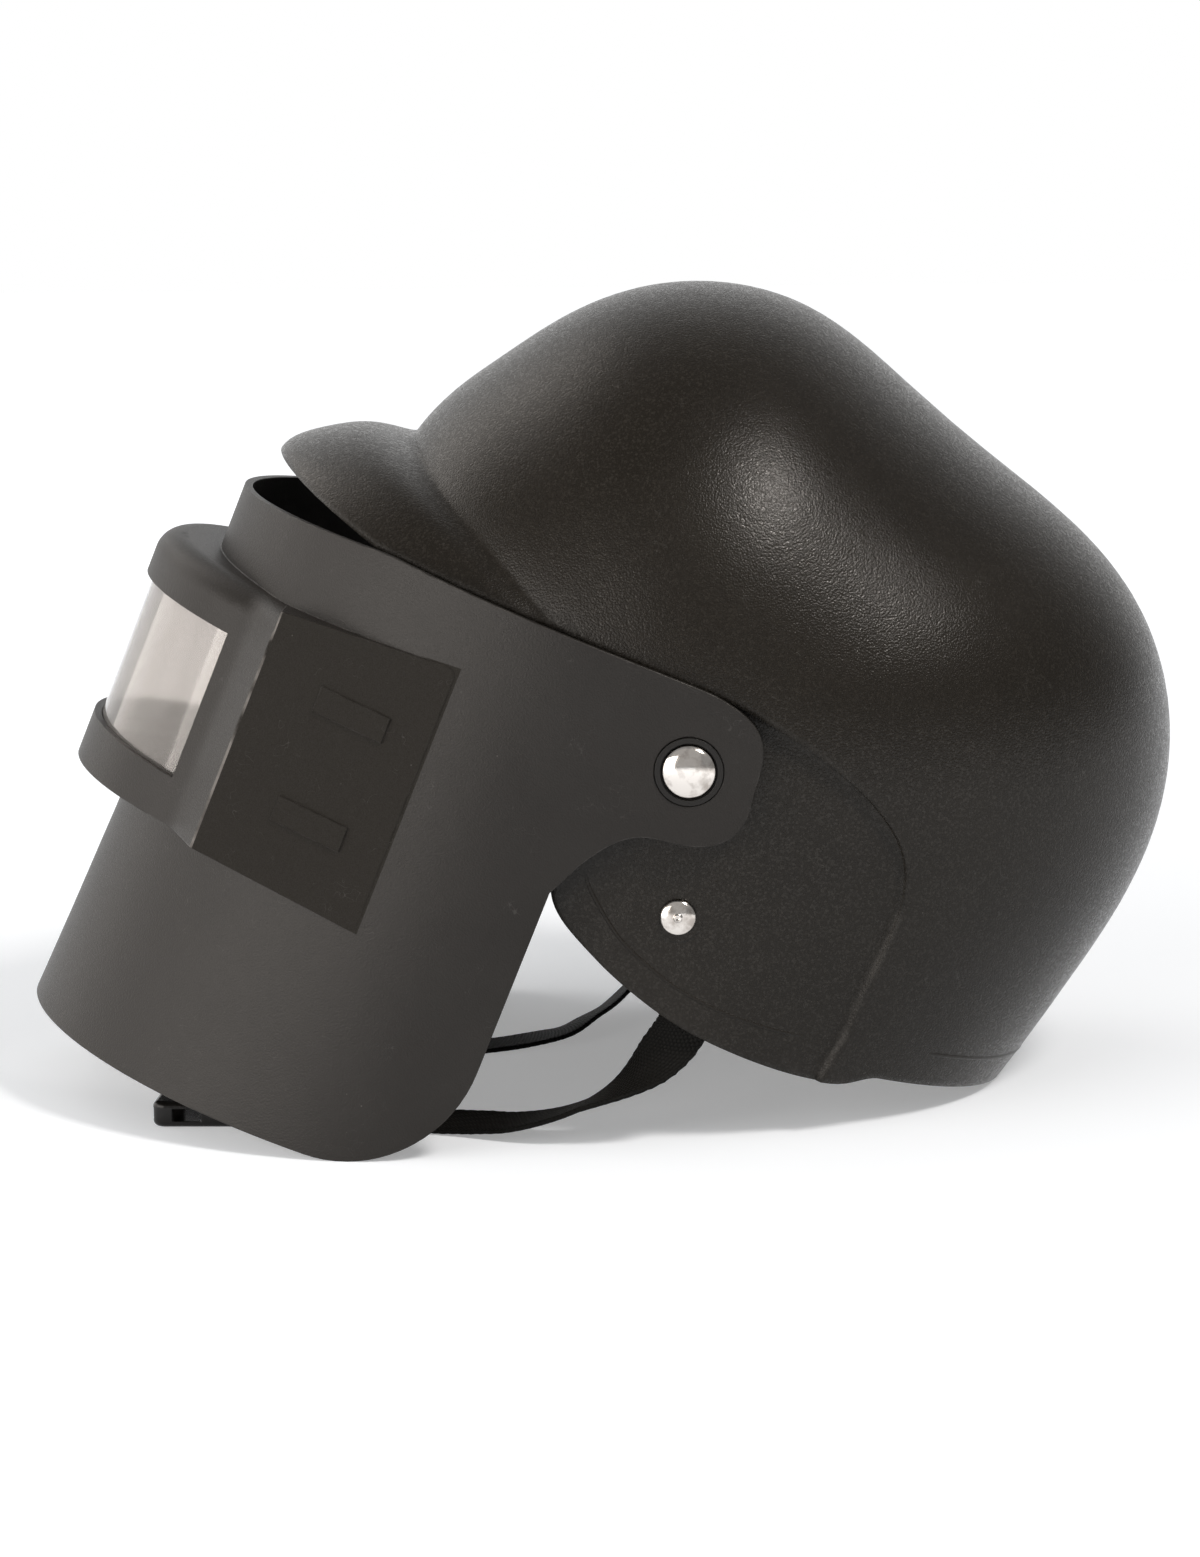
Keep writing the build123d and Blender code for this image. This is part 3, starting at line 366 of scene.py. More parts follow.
def smoke_lens():
    """Clear lens with a slight brown smoke tint, fine wiping marks and dust."""
    material, tree, shader = finish_material("lens_smoke", Transmission_Weight=0.88, IOR=1.49,
                                             Specular_IOR_Level=0.2)
    marks = effect(tree, MARKS, Scuff_Length=0.02, Speck_Size=0.008, Amount=0.4)
    surface = effect(tree, GRAIN, Grain_Size=0.004, Patch_Size=0.04)
    tone = blended(tree, surface.outputs["Tone"], (0.68, 0.645, 0.62, 1.0),
                   (0.71, 0.68, 0.655, 1.0))
    tree.links.new(tone, shader.inputs["Base Color"])
    rough = maths(tree, "MULTIPLY_ADD", marks.outputs["Scuffs"], 0.2, 0.09)
    rough = maths(tree, "MULTIPLY_ADD", marks.outputs["Specks"], 0.4, rough)
    tree.links.new(rough, shader.inputs["Roughness"])
    bumped(tree, shader, 0.05, 0.0001, surface.outputs["Height"])
    return material


def web_fabric():
    """Black woven webbing with a slight sheen on its yarns."""
    material, tree, shader = finish_material("webbing_black", Specular_IOR_Level=0.12,
                                             Sheen_Weight=0.01, Sheen_Roughness=0.4)
    weave = effect(tree, WEAVE)
    tone = blended(tree, weave.outputs["Tone"], (0.0010, 0.0009, 0.0007, 1.0),
                   (0.0055, 0.0050, 0.0040, 1.0))
    tree.links.new(tone, shader.inputs["Base Color"])
    rough = spread(tree, weave.outputs["Tone"], 0.2, 0.9, 0.75, 0.5)
    tree.links.new(rough, shader.inputs["Roughness"])
    bumped(tree, shader, 0.8, 0.0003, weave.outputs["Height"])
    return material


def pad_fabric(name, dark, light, loop):
    """Brushed knit over foam."""
    material, tree, shader = finish_material(name, Sheen_Weight=0.3, Sheen_Roughness=0.5,
                                             Specular_IOR_Level=0.3)
    knit = effect(tree, KNIT, Loop_Size=loop)
    tree.links.new(blended(tree, knit.outputs["Tone"], dark, light), shader.inputs["Base Color"])
    rough = spread(tree, knit.outputs["Tone"], 0.2, 0.8, 0.95, 0.8)
    tree.links.new(rough, shader.inputs["Roughness"])
    bumped(tree, shader, 0.7, 0.0003, knit.outputs["Height"])
    return material


# The side box's flat face
BOX_FACE = dict(place=worn(93, -131, -4.5), way=worn_way(56, -21.5, 0).normalized(), length=0.061,
                height=0.0783, top_rise=0.108, low_drop=0.02)
SHELL_TONES = (0.0072, 0.0054, 0.0034, 1), (0.0108, 0.0086, 0.0060, 1), (0.040, 0.036, 0.031, 1)
shell_plastic = moulded_plastic("shell_plastic", *SHELL_TONES, rough=0.32, grain=0.0006,
                                depth=0.00011, edge=0.0030, scuffs=0.2, shine=0.23, sparkle=0.8)
line_plastic = moulded_plastic("line_plastic", *SHELL_TONES, rough=0.34, grain=0.0006,
                               depth=0.00010, edge=0.0002, scuffs=0.2, shine=0.23)
mask_plastic = moulded_plastic(
    "mask_plastic", (0.0105, 0.0088, 0.0074, 1), (0.0150, 0.0132, 0.0116, 1), (0.15, 0.14, 0.13, 1),
    rough=0.44, grain=0.0006, depth=0.00008, edge=0.0006, scuffs=0.2, smooth_face=BOX_FACE)
ring_plastic = moulded_plastic(
    "ring_plastic", (0.006, 0.0052, 0.0045, 1), (0.009, 0.008, 0.007, 1), (0.03, 0.028, 0.026, 1),
    rough=0.38, grain=0.0006, depth=0.00004, edge=0.0003, scuffs=0.2)
buckle_plastic = moulded_plastic(
    "buckle_plastic", (0.005, 0.0046, 0.0041, 1), (0.008, 0.0074, 0.0068, 1),
    (0.02, 0.019, 0.018, 1), rough=0.22, grain=0.0009, depth=0.00003, edge=0.0008, scuffs=0.3)
rivet_chrome = plated_metal("rivet_chrome", (0.74, 0.70, 0.66, 1), 0.07, 0.18)
washer_steel = plated_metal("washer_steel", (0.55, 0.54, 0.52, 1), 0.28, 0.42)
black_steel = plated_metal("black_steel", (0.05, 0.048, 0.046, 1), 0.4, 0.5)
lens_smoke = smoke_lens()
webbing_black = web_fabric()
pad_knit = pad_fabric("pad_knit", (0.010, 0.010, 0.0105, 1), (0.045, 0.044, 0.045, 1), 0.0012)
hook_tape = pad_fabric("hook_tape", (0.012, 0.012, 0.012, 1), (0.05, 0.05, 0.05, 1), 0.0008)
thread_black = pad_fabric("thread_black", (0.012, 0.012, 0.012, 1), (0.035, 0.034, 0.033, 1),
                          0.0003)


def paint(names, material):
    """Gives carried-over nodes their finish."""
    for name in names:
        for place in nodes[name].material_slots:
            place.link = "OBJECT"
            place.material = material


def both(*names):
    """These names with a hand each: left and right."""
    return [name + hand for name in names for hand in ("_left", "_right")]


paint(["helmet_shell"], shell_plastic)
paint(["visor_shell"], mask_plastic)
paint(both("pivot_ring", "pivot_bush"), ring_plastic)
paint(["buckle_female", "buckle_male"], buckle_plastic)
paint(both("pivot_post", "strap_post", "pivot_washer", "strap_washer"), washer_steel)
paint(["lens_push_washers"], black_steel)
paint(["lens"], lens_smoke)
paint(["pad_hook_tapes"], hook_tape)


def new_piece(name, mesh, material, body):
    """A finished piece of the helmet, riding on one of its bodies."""
    piece = bpy.data.objects.new(name, mesh)
    bpy.context.scene.collection.objects.link(piece)
    mesh.materials.clear()
    mesh.materials.append(material)
    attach(piece, body)
    return piece


def finished_mesh(work, name):
    """A mesh of the worked faces, which all look outward."""
    bmesh.ops.recalc_face_normals(work, faces=work.faces)
    mesh = bpy.data.meshes.new(name)
    work.to_mesh(mesh)
    work.free()
    return mesh


def smooth_path(points, step):
    """Even points on a smooth line through the given rows of numbers."""
    rows = [Vector(p) for p in points]
    dense = []
    for i in range(len(rows) - 1):
        a, b = rows[max(i - 1, 0)], rows[i]
        c, d = rows[i + 1], rows[min(i + 2, len(rows) - 1)]
        for k in range(12):
            t = k / 12
            dense.append(0.5 * (2 * b + (c - a) * t + (2 * a - 5 * b + 4 * c - d) * t * t
                                + (3 * b - a - 3 * c + d) * t ** 3))
    dense.append(rows[-1])
    even, gone, due = [dense[0]], 0.0, step
    for before, after in zip(dense, dense[1:]):
        length = (after - before).length
        while length and gone + length >= due:
            even.append(before.lerp(after, (due - gone) / length))
            due += step
        gone += length
    if (even[-1] - dense[-1]).length > step / 3:
        even.append(dense[-1])
    return even


# Chin strap: its middle line as shares of this span, the dome's radius, and the way that its
# width points
SPAN = 0.14
WEB_WIDTH, WEB_THICK, WEB_STEP = 0.016, 0.0016, 0.0012
PICK = 0.0017  # one crossing yarn of the weave
WEB_LEFT = [
    (0.7725, 0.1853, 0.5721, 0, 1, 0), (0.7725, 0.1853, 0.4757, 0, 1, 0),
    (0.7614, 0.186, 0.4329, 0, 1, 0), (0.7543, 0.1889, 0.3543, 0, 1, 0),
    (0.7464, 0.196, 0.275, 0, 1, 0), (0.7357, 0.1393, 0.1964, 0.45, 0.9, 0),
    (0.725, 0.0571, 0.1286, 0.85, 0.5, 0.12), (0.7107, -0.0286, 0.0821, 1, 0, 0.14),
    (0.6893, -0.1071, 0.0521, 1, 0, 0.05), (0.6536, -0.1857, 0.0314, 1, 0, -0.06),
    (0.6179, -0.2571, 0.0229, 1, 0, -0.14), (0.5893, -0.3286, 0.0179, 1, 0, -0.17),
    (0.5643, -0.4071, 0.0136, 1, 0, -0.1), (0.5371, -0.4857, 0.0086, 1, 0, -0.03),
    (0.51, -0.5571, 0.0063, 1, 0, 0),
]
WEB_RIGHT = [
    (-0.7725, 0.1853, 0.5721, 0, 1, 0), (-0.7725, 0.1853, 0.4757, 0, 1, 0),
    (-0.7614, 0.186, 0.4329, 0, 1, 0), (-0.7543, 0.1903, 0.3543, 0, 1, 0),
    (-0.7443, 0.1917, 0.2893, 0, 1, 0), (-0.7214, 0.1786, 0.2071, 0.3, 1, 0.1),
    (-0.675, 0.1357, 0.1393, 0.8, 0.6, 0.3), (-0.6, 0.0786, 0.0857, 1, 0.3, 0.25),
    (-0.4893, 0.0143, 0.0486, 1, 0.1, 0.2), (-0.3786, -0.0464, 0.0307, 1, 0, 0.1),
    (-0.2893, -0.1107, 0.015, 1, 0, 0.03), (-0.225, -0.2, 0.0089, 1, 0, 0),
    (-0.1857, -0.2786, 0.0068, 1, 0, 0), (-0.1607, -0.3571, 0.0057, 1, 0, 0),
    (-0.1429, -0.4429, 0.0057, 1, 0, 0), (-0.1336, -0.5214, 0.0057, 1, 0, 0),
]


# Each buckle half: its middle in millimetres, its turn in degrees and its length in millimetres
FEMALE_BUCKLE = (65.8, -123.8), -2, 30
MALE_BUCKLE = (-14, -112), 8, 14


def buckle_ways(turn):
    """The ways back and across, for a buckle half that lies turned on the floor."""
    turn = math.radians(turn)
    return (Vector((-math.sin(turn), math.cos(turn), 0)),
            Vector((math.cos(turn), math.sin(turn), 0)))


def loop_rows(middle, turn, length):
    """Rows of the sewn loop round a buckle's bar: millimetres back from its middle, and up."""
    back, wide = buckle_ways(turn)
    inner, bend = length / 2 - 4.2, length / 2 + 0.5
    line = [(bend + 16, 0.9), (bend + 10, 0.85), (bend + 5, 0.85), (bend + 1.5, 1.0),
            (bend - 2, 1.35), (inner + 0.8, 1.4), (inner + 0.1, 2.1), (inner, 4.0),
            (inner + 0.1, 5.9), (inner + 0.8, 6.6), (bend - 2, 6.65), (bend, 6.3),
            (bend + 4, 4.6), (bend + 8.2, 2.7), (bend + 10, 2.5), (bend + 14, 2.5),
            (bend + 18.5, 2.5)]
    origin = Vector((*middle, 0))
    return [(*(origin + back * a + Vector((0, 0, b))) * MM, *wide) for a, b in line]


def webbing(name, shares, middle, turn, length):
    """One half of the chin strap: a flat strip with rounded edges and its own map."""
    rows = [(*(Vector(row[:3]) * SPAN), *row[3:]) for row in shares]
    rows += loop_rows(middle, turn, length)
    dense = smooth_rows(rows, WEB_STEP)
    half, thick = WEB_WIDTH / 2, WEB_THICK / 2
    ring = [(-half, 0), (-half + 0.25 * thick, -0.7 * thick), (-half + thick, -thick)]
    ring += [(half * k / 4, -thick) for k in range(-3, 4)]
    ring += [(half - thick, -thick), (half - 0.25 * thick, -0.7 * thick), (half, 0)]
    ring += [(-a, -b) for a, b in ring[1:-1]]
    mesh = bmesh.new()
    flat = mesh.loops.layers.uv.new("webbing")
    rings, gone = [], 0.0
    for i, (point, wide) in enumerate(dense):
        before, after = dense[max(i - 1, 0)][0], dense[min(i + 1, len(dense) - 1)][0]
        along = (after - before).normalized()
        across = (wide - along * wide.dot(along)).normalized()
        out = along.cross(across)
        gone += (point - before).length
        # the selvedge is very slightly drawn in between its picks
        waver = 1 + 0.02 * math.sin(gone / PICK * math.pi)
        corners = [mesh.verts.new(point + across * a * waver + out * b) for a, b in ring]
        rings.append((corners, gone))
    count = len(ring)
    for (first, start), (second, end) in zip(rings, rings[1:]):
        for k in range(count):
            n = (k + 1) % count
            face = mesh.faces.new((first[k], first[n], second[n], second[k]))
            face.smooth = True
            marks = (k, start), (n, start), (n, end), (k, end)
            for corner, (place, far) in zip(face.loops, marks):
                corner[flat].uv = (ring[place][0] + half, far)
    for cap in (rings[0][0], rings[-1][0]):
        mesh.faces.new(cap)
    strap = new_piece(name, finished_mesh(mesh, name), webbing_black, "helmet")
    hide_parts("strap_web_" + name.rsplit("_", 1)[1])


def smooth_rows(rows, step):
    """Even steps along rows of a point and a width direction, both turned smoothly."""
    centres = smooth_path([row[:3] for row in rows], step)
    marks, gone = [0.0], 0.0
    for before, after in zip(rows, rows[1:]):
        gone += (Vector(after[:3]) - Vector(before[:3])).length
        marks.append(gone)
    reach = [0.0]
    for before, after in zip(centres, centres[1:]):
        reach.append(reach[-1] + (after - before).length)
    dense, k = [], 0
    for point, far in zip(centres, reach):
        far = far * marks[-1] / reach[-1]
        while k < len(marks) - 2 and far > marks[k + 1]:
            k += 1
        share = min(1.0, max(0.0, (far - marks[k]) / (marks[k + 1] - marks[k])))
        wide = Vector(rows[k][3:]).normalized().lerp(Vector(rows[k + 1][3:]).normalized(), share)
        dense.append((point, wide.normalized()))
    return dense


webbing("chin_strap_left", WEB_LEFT, *FEMALE_BUCKLE)
webbing("chin_strap_right", WEB_RIGHT, *MALE_BUCKLE)


# Rivet caps: domed plated heads with a turned-in edge, and the shank behind each

def rivet_cap(kind, hand, rear, up, seat, radius, height, dimple, shank, shank_end):
    """A domed cap turned about the rivet's axis; hand is 1 on the left and -1 on the right."""
    dimple_radius, lip, tuck = 0.0012, 0.0003, 0.00025
    steps, ring = 14, 72
    profile, first = [], 0.0
    if dimple:
        profile = [(height - dimple * (1 - k / 3) ** 2, 0.4 * k * MM) for k in range(4)]
        first = dimple_radius / radius
    for k in range(steps + 1):
        turn = first + (math.pi / 2 - first) * k / steps
        profile.append((lip + (height - lip) * math.cos(turn) ** 0.9, radius * math.sin(turn)))
    profile += [(0.0, radius - tuck), (0.0, shank), (shank_end - seat, shank),
                (shank_end - seat, 0.0)]
    mesh = bmesh.new()
    middle = worn(0, rear, up)
    rings = []
    for out, reach in profile:
        centre = middle + LEFTWARD * hand * (seat + out)
        turns = [2 * math.pi * k / ring for k in range(ring if reach > 1e-7 else 1)]
        rings.append([mesh.verts.new(centre + (REARWARD * math.cos(turn)
                                               + UPWARD * math.sin(turn)) * reach)
                      for turn in turns])
    for one, two in zip(rings, rings[1:]):
        for k in range(ring):
            corners = {one[k % len(one)]: 0, one[(k + 1) % len(one)]: 0,
                       two[(k + 1) % len(two)]: 0, two[k % len(two)]: 0}
            if len(corners) > 2:
                mesh.faces.new(list(corners)).smooth = True
    name = kind + ("_left" if hand > 0 else "_right")
    dome = name + "_dome"
    cap = new_piece(dome, finished_mesh(mesh, dome), rivet_chrome, "helmet")
    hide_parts(name)


for hand in (1, -1):
    rivet_cap("pivot_cap", hand, rear=0, up=0, seat=0.1203, radius=0.0082, height=0.0034,
              dimple=0.0, shank=0.003, shank_end=0.1098)
    rivet_cap("strap_cap", hand, rear=13.8, up=-43.6, seat=0.11285, radius=0.00545,
              height=0.0022, dimple=0.0004, shank=0.0019, shank_end=0.1065)


# Fine moulded lines on the shell, laid on its own surface

shell_surface = BVHTree.FromObject(nodes["helmet_shell"],
                                   bpy.context.evaluated_depsgraph_get())
# Its points' spacing, how far its foot lies in the shell, and its height
LINE_STEP, LINE_SINK, LINE_HEIGHT = 0.0015, 0.00012, 0.00035
LINE_SECTION = [(-1, 0), (-0.6, 0.75), (0, 1), (0.6, 0.75), (1, 0), (0, -0.6)]


def moulded_line(name, starts, way_of, half_width):
    """A low rounded line where rays from these points meet the shell, tapering at its ends."""
    hits = []
    for start in smooth_path(starts, LINE_STEP):
        place, normal, _, _ = shell_surface.ray_cast(start, way_of(start))
        if place is not None:
            hits.append((place, normal))
    mesh = bmesh.new()
    rows = []
    for i, (place, normal) in enumerate(hits):
        along = (hits[min(i + 1, len(hits) - 1)][0] - hits[max(i - 1, 0)][0]).normalized()
        across = normal.cross(along).normalized()
        taper = min(1.0, i / 6, (len(hits) - 1 - i) / 6)
        rows.append([mesh.verts.new(place + across * half_width * a
                                    + normal * (LINE_HEIGHT * b * taper - LINE_SINK))
                     for a, b in LINE_SECTION])
    for one, two in zip(rows, rows[1:]):
        for k in range(6):
            n = (k + 1) % 6
            mesh.faces.new((one[k], one[n], two[n], two[k])).smooth = True
    for end in (rows[0], rows[-1]):
        mesh.faces.new(end)
    new_piece(name, finished_mesh(mesh, name), line_plastic, "helmet")


def rim_start(turn):
    """A point outside the shell at the rim's height, turned this many degrees from the rear."""
    around = math.radians(turn)
    return worn(160 * math.sin(around), 60 + 160 * math.cos(around), -58.5 - 0.055 * abs(turn))


# Points rearward and up from the pivot, in millimetres; rays start this far out
FLAP_LINE = [(-19.0, -38.0), (-15.1, -44.0), (-10.0, -48.9), (-2.9, -54.3), (3.6, -58.0),
             (13.7, -61.9), (22.8, -64.5), (34.9, -66.3), (45.7, -66.8), (57.8, -66.5),
             (67.7, -65.1)]
FAR_OUT = 135
for hand, side in ((1, "left"), (-1, "right")):
    moulded_line("flap_line_" + side, [worn(hand * FAR_OUT, rear, up) for rear, up in FLAP_LINE],
                 lambda start: LEFTWARD * (-1 if start.x > 0 else 1), 0.0007)
moulded_line("rim_line", [rim_start(turn) for turn in range(-62, 63, 4)],
             lambda start: (worn(0, 60, -60) - start).normalized(), 0.0008)


# Stitches: one tree lays them along any path

def stitch_tree():
    """Stitches of one length, evenly spaced along a path and turned along it."""
    tree = bpy.data.node_groups.new("stitch_row", "GeometryNodeTree")
    tree.interface.new_socket("Geometry", in_out="INPUT", socket_type="NodeSocketGeometry")
    for label, value in (("Pitch", 0.0028), ("Stitch Length", 0.0022), ("Thread Radius", 0.00028)):
        socket = tree.interface.new_socket(label, in_out="INPUT", socket_type="NodeSocketFloat")
        socket.default_value = value
    tree.interface.new_socket("Thread", in_out="INPUT", socket_type="NodeSocketMaterial")
    tree.interface.new_socket("Geometry", in_out="OUTPUT", socket_type="NodeSocketGeometry")
    given = tree.nodes.new("NodeGroupInput")
    line = put(tree, "GeometryNodeMeshToCurve", {}, Mesh=given.outputs["Geometry"])
    even = put(tree, "GeometryNodeResampleCurve", {"mode": "LENGTH"}, Curve=line.outputs[0],
               Length=given.outputs["Pitch"])
    along = tree.nodes.new("GeometryNodeInputTangent")
    turned = put(tree, "FunctionNodeAlignRotationToVector", {"axis": "Z"}, Vector=along.outputs[0])
    bead = put(tree, "GeometryNodeMeshUVSphere", {}, Segments=8, Rings=6, Radius=1.0)
    size = put(tree, "ShaderNodeCombineXYZ", {}, i0=given.outputs["Thread Radius"],
               i1=given.outputs["Thread Radius"],
               i2=maths(tree, "MULTIPLY", given.outputs["Stitch Length"], 0.5))
    laid = put(tree, "GeometryNodeInstanceOnPoints", {}, Points=even.outputs[0],
               Instance=bead.outputs[0], Rotation=turned.outputs[0], Scale=size.outputs[0])
    solid = put(tree, "GeometryNodeRealizeInstances", {}, Geometry=laid.outputs[0])
    dyed = put(tree, "GeometryNodeSetMaterial", {}, Geometry=solid.outputs[0],
               Material=given.outputs["Thread"])
    made = tree.nodes.new("NodeGroupOutput")
    tree.links.new(dyed.outputs[0], made.inputs[0])
    return tree


STITCHES = stitch_tree()


def sewn(name, paths, pitch, length, radius):
    """Stitches along these paths as one plain mesh."""
    points, edges = [], []
    for path in paths:
        edges += [(len(points) + k, len(points) + k + 1) for k in range(len(path) - 1)]
        points += [tuple(point) for point in path]
    line = bpy.data.meshes.new(name + "_path")
    line.from_pydata(points, edges, [])
    piece = bpy.data.objects.new(name, line)
    bpy.context.scene.collection.objects.link(piece)
    work = piece.modifiers.new("stitches", "NODES")
    work.node_group = STITCHES
    values = {"Pitch": pitch, "Stitch Length": length, "Thread Radius": radius,
              "Thread": thread_black}
    for item in STITCHES.interface.items_tree:
        if item.in_out == "INPUT" and item.name in values:
            work[item.identifier] = values[item.name]
    mesh = evaluated(piece)
    piece.modifiers.clear()
    replaced_mesh(piece, mesh)
    for face in mesh.polygons:
        face.use_smooth = True
    mesh.materials.clear()
    mesh.materials.append(thread_black)
    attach(piece, "helmet")


def replaced_mesh(piece, mesh):
    """Gives the piece this mesh and drops its old one."""
    old = piece.data
    piece.data = mesh
    bpy.data.meshes.remove(old)


def evaluated(piece):
    """The piece's mesh with its modifiers, as a plain mesh."""
    bpy.context.view_layer.update()
    graph = bpy.context.evaluated_depsgraph_get()
    return bpy.data.meshes.new_from_object(piece.evaluated_get(graph), depsgraph=graph)


def loop_stitches(name, middle, turn, length):
    """A sewn box with crossing lines where the webbing's tail lies on itself."""
    back, wide = buckle_ways(turn)
    start, end, half, top = length / 2 + 10.5, length / 2 + 17.5, 5.8, 3.35
    corner = [Vector((*middle, top)) + back * a + wide * b
              for a, b in ((start, -half), (start, half), (end, half), (end, -half))]
    lines = [(0, 1), (1, 2), (2, 3), (3, 0), (0, 2), (1, 3)]
    paths = [[(corner[a].lerp(corner[b], k / 6)) * MM for k in range(7)] for a, b in lines]
    sewn(name, paths, pitch=0.0021, length=0.0019, radius=0.00028)


loop_stitches("loop_stitches_left", *FEMALE_BUCKLE)
loop_stitches("loop_stitches_right", *MALE_BUCKLE)


# Padding: foam pads under a knitted cover, swelled a little by a short simulation

# The mesh's face size, how far it is drawn in, how far it may swell, and its sewn channels
PAD_FACE, PAD_SHRINK, PAD_SWELL = 0.003, 0.0012, 0.0016
CHANNEL_REACH, CHANNEL_DEPTH = 0.005, 0.0016
SWELL_FRAMES = 14


def remeshed(piece, size):
    """Gives the piece even faces of about this size."""
    work = piece.modifiers.new("even_mesh", "REMESH")
    work.mode = "VOXEL"
    work.voxel_size = size
    mesh = evaluated(piece)
    piece.modifiers.clear()
    replaced_mesh(piece, mesh)


def swelled(piece, cap):
    """Lets the cover swell under pressure, no point moving further than the cap."""
    rest = [v.co.copy() for v in piece.data.vertices]
    cloth = piece.modifiers.new("swelling", "CLOTH")
    cloth.settings.use_pressure = True
    cloth.settings.uniform_pressure_force = 4.0
    cloth.settings.effector_weights.gravity = 0.0
    cloth.settings.quality = 4
    scene = bpy.context.scene
    for step in range(1, SWELL_FRAMES + 1):
        scene.frame_set(step)
    mesh = evaluated(piece)
    piece.modifiers.clear()
    scene.frame_set(1)
    for vertex, start in zip(mesh.vertices, rest):
        move = vertex.co - start
        if move.length > cap:
            vertex.co = start + move.normalized() * cap
    replaced_mesh(piece, mesh)


def pad_cover(node, channels):
    """A pad's cover in place of its solid; channels are planes of sewn lines, each a point and
    a direction."""
    mesh = nodes[node].data.copy()
    piece = new_piece(node + "_cover", mesh, pad_knit, "helmet")
    work = bmesh.new()
    work.from_mesh(mesh)
    bmesh.ops.remove_doubles(work, verts=work.verts, dist=0.00002)
    bmesh.ops.recalc_face_normals(work, faces=work.faces)
    work.to_mesh(mesh)
    work.free()
    remeshed(piece, PAD_FACE)
    for vertex, normal in [(v, v.normal.copy()) for v in piece.data.vertices]:
        vertex.co -= normal * PAD_SHRINK
    relax(piece, 3)
    swelled(piece, PAD_SWELL)
    finer = piece.modifiers.new("finer", "SUBSURF")
    finer.levels = finer.render_levels = 1
    mesh = evaluated(piece)
    piece.modifiers.clear()
    replaced_mesh(piece, mesh)
    for vertex, normal in [(v, v.normal.copy()) for v in piece.data.vertices]:
        for point, way in channels:
            off = abs((vertex.co - point).dot(way))
            if off < CHANNEL_REACH:
                share = 0.5 + 0.5 * math.cos(off / CHANNEL_REACH * math.pi)
                vertex.co -= normal * CHANNEL_DEPTH * share
    for face in piece.data.polygons:
        face.use_smooth = True
    piece.data.materials.clear()
    piece.data.materials.append(pad_knit)
    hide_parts(node)
    return piece


def relax(piece, rounds):
    """Softens the pad's corners by drawing each point to its neighbours."""
    work = bmesh.new()
    work.from_mesh(piece.data)
    for _ in range(rounds):
        bmesh.ops.smooth_vert(work, verts=work.verts, factor=0.5, use_axis_x=True, use_axis_y=True,
                              use_axis_z=True)
    work.to_mesh(piece.data)
    work.free()


def lines_at(places, way):
    """Sewn channels at these places in millimetres from the pivot, along a worn direction."""
    return [(PIVOT + way * place * MM, way) for place in places]


def channel_stitches(cover, channels):
    """Stitches sunk in a pad's sewn channels, found by rays from the middle of the head."""
    surface = BVHTree.FromObject(cover, bpy.context.evaluated_depsgraph_get())
    head, sink, facing = worn(0, 55, 62), 0.0001, -0.5
    paths = []
    for point, way in channels:
        middle = head + way * (point - head).dot(way)
        level = REARWARD if abs(way.dot(LEFTWARD)) > 0.5 else LEFTWARD
        path = []
        # one ray a degree, all the way round from straight down
        for k in range(-90, 271):
            turn = math.radians(k)
            aim = level * math.cos(turn) + UPWARD * math.sin(turn)
            hit, normal, _, _ = surface.ray_cast(middle, aim)
            if hit is not None and normal.dot(aim) < facing:
                path.append(hit - aim * sink)
            elif path:
                paths.append(path)
                path = []
    long_enough = [path for path in paths if len(path) > 3]
    sewn(cover.name.replace("cover", "stitches"), long_enough, pitch=0.0034, length=0.0026,
         radius=0.0003)


# Each pad's channels: their places in millimetres from the pivot, and the way they are counted
for node, places, way in (
        ("crown_pad", (-19, 8, 35), REARWARD), ("brow_pad", (-25, 0, 25), LEFTWARD),
        ("nape_pad", (-25, 0, 25), LEFTWARD), ("temple_pad_left", (-9, 12, 33), REARWARD),
        ("temple_pad_right", (-9, 12, 33), REARWARD)):
    channels = lines_at(places, way)
    channel_stitches(pad_cover(node, channels), channels)


# Floor, light and camera

def light(name, way, far, wide, high, power):
    """A soft lamp that looks at the helmet from this direction."""
    lamp = bpy.data.lights.new(name, "AREA")
    lamp.shape = "RECTANGLE"
    lamp.size, lamp.size_y = wide, high
    lamp.energy = power
    lamp.color = (1.0, 0.94, 0.88)
    holder = bpy.data.objects.new(name, lamp)
    way = Vector(way).normalized()
    holder.location = Vector((0, 0, 0.12)) + way * far
    holder.rotation_mode = "QUATERNION"
    holder.rotation_quaternion = (-way).to_track_quat("-Z", "Y")
    bpy.context.scene.collection.objects.link(holder)


def seen_rays(tree):
    """1 for rays from the camera and for what metal and glass show, else 0."""
    path = tree.nodes.new("ShaderNodeLightPath")
    seen = maths(tree, "MAXIMUM", path.outputs["Is Camera Ray"], path.outputs["Is Glossy Ray"])
    return maths(tree, "MAXIMUM", seen, path.outputs["Is Transmission Ray"])


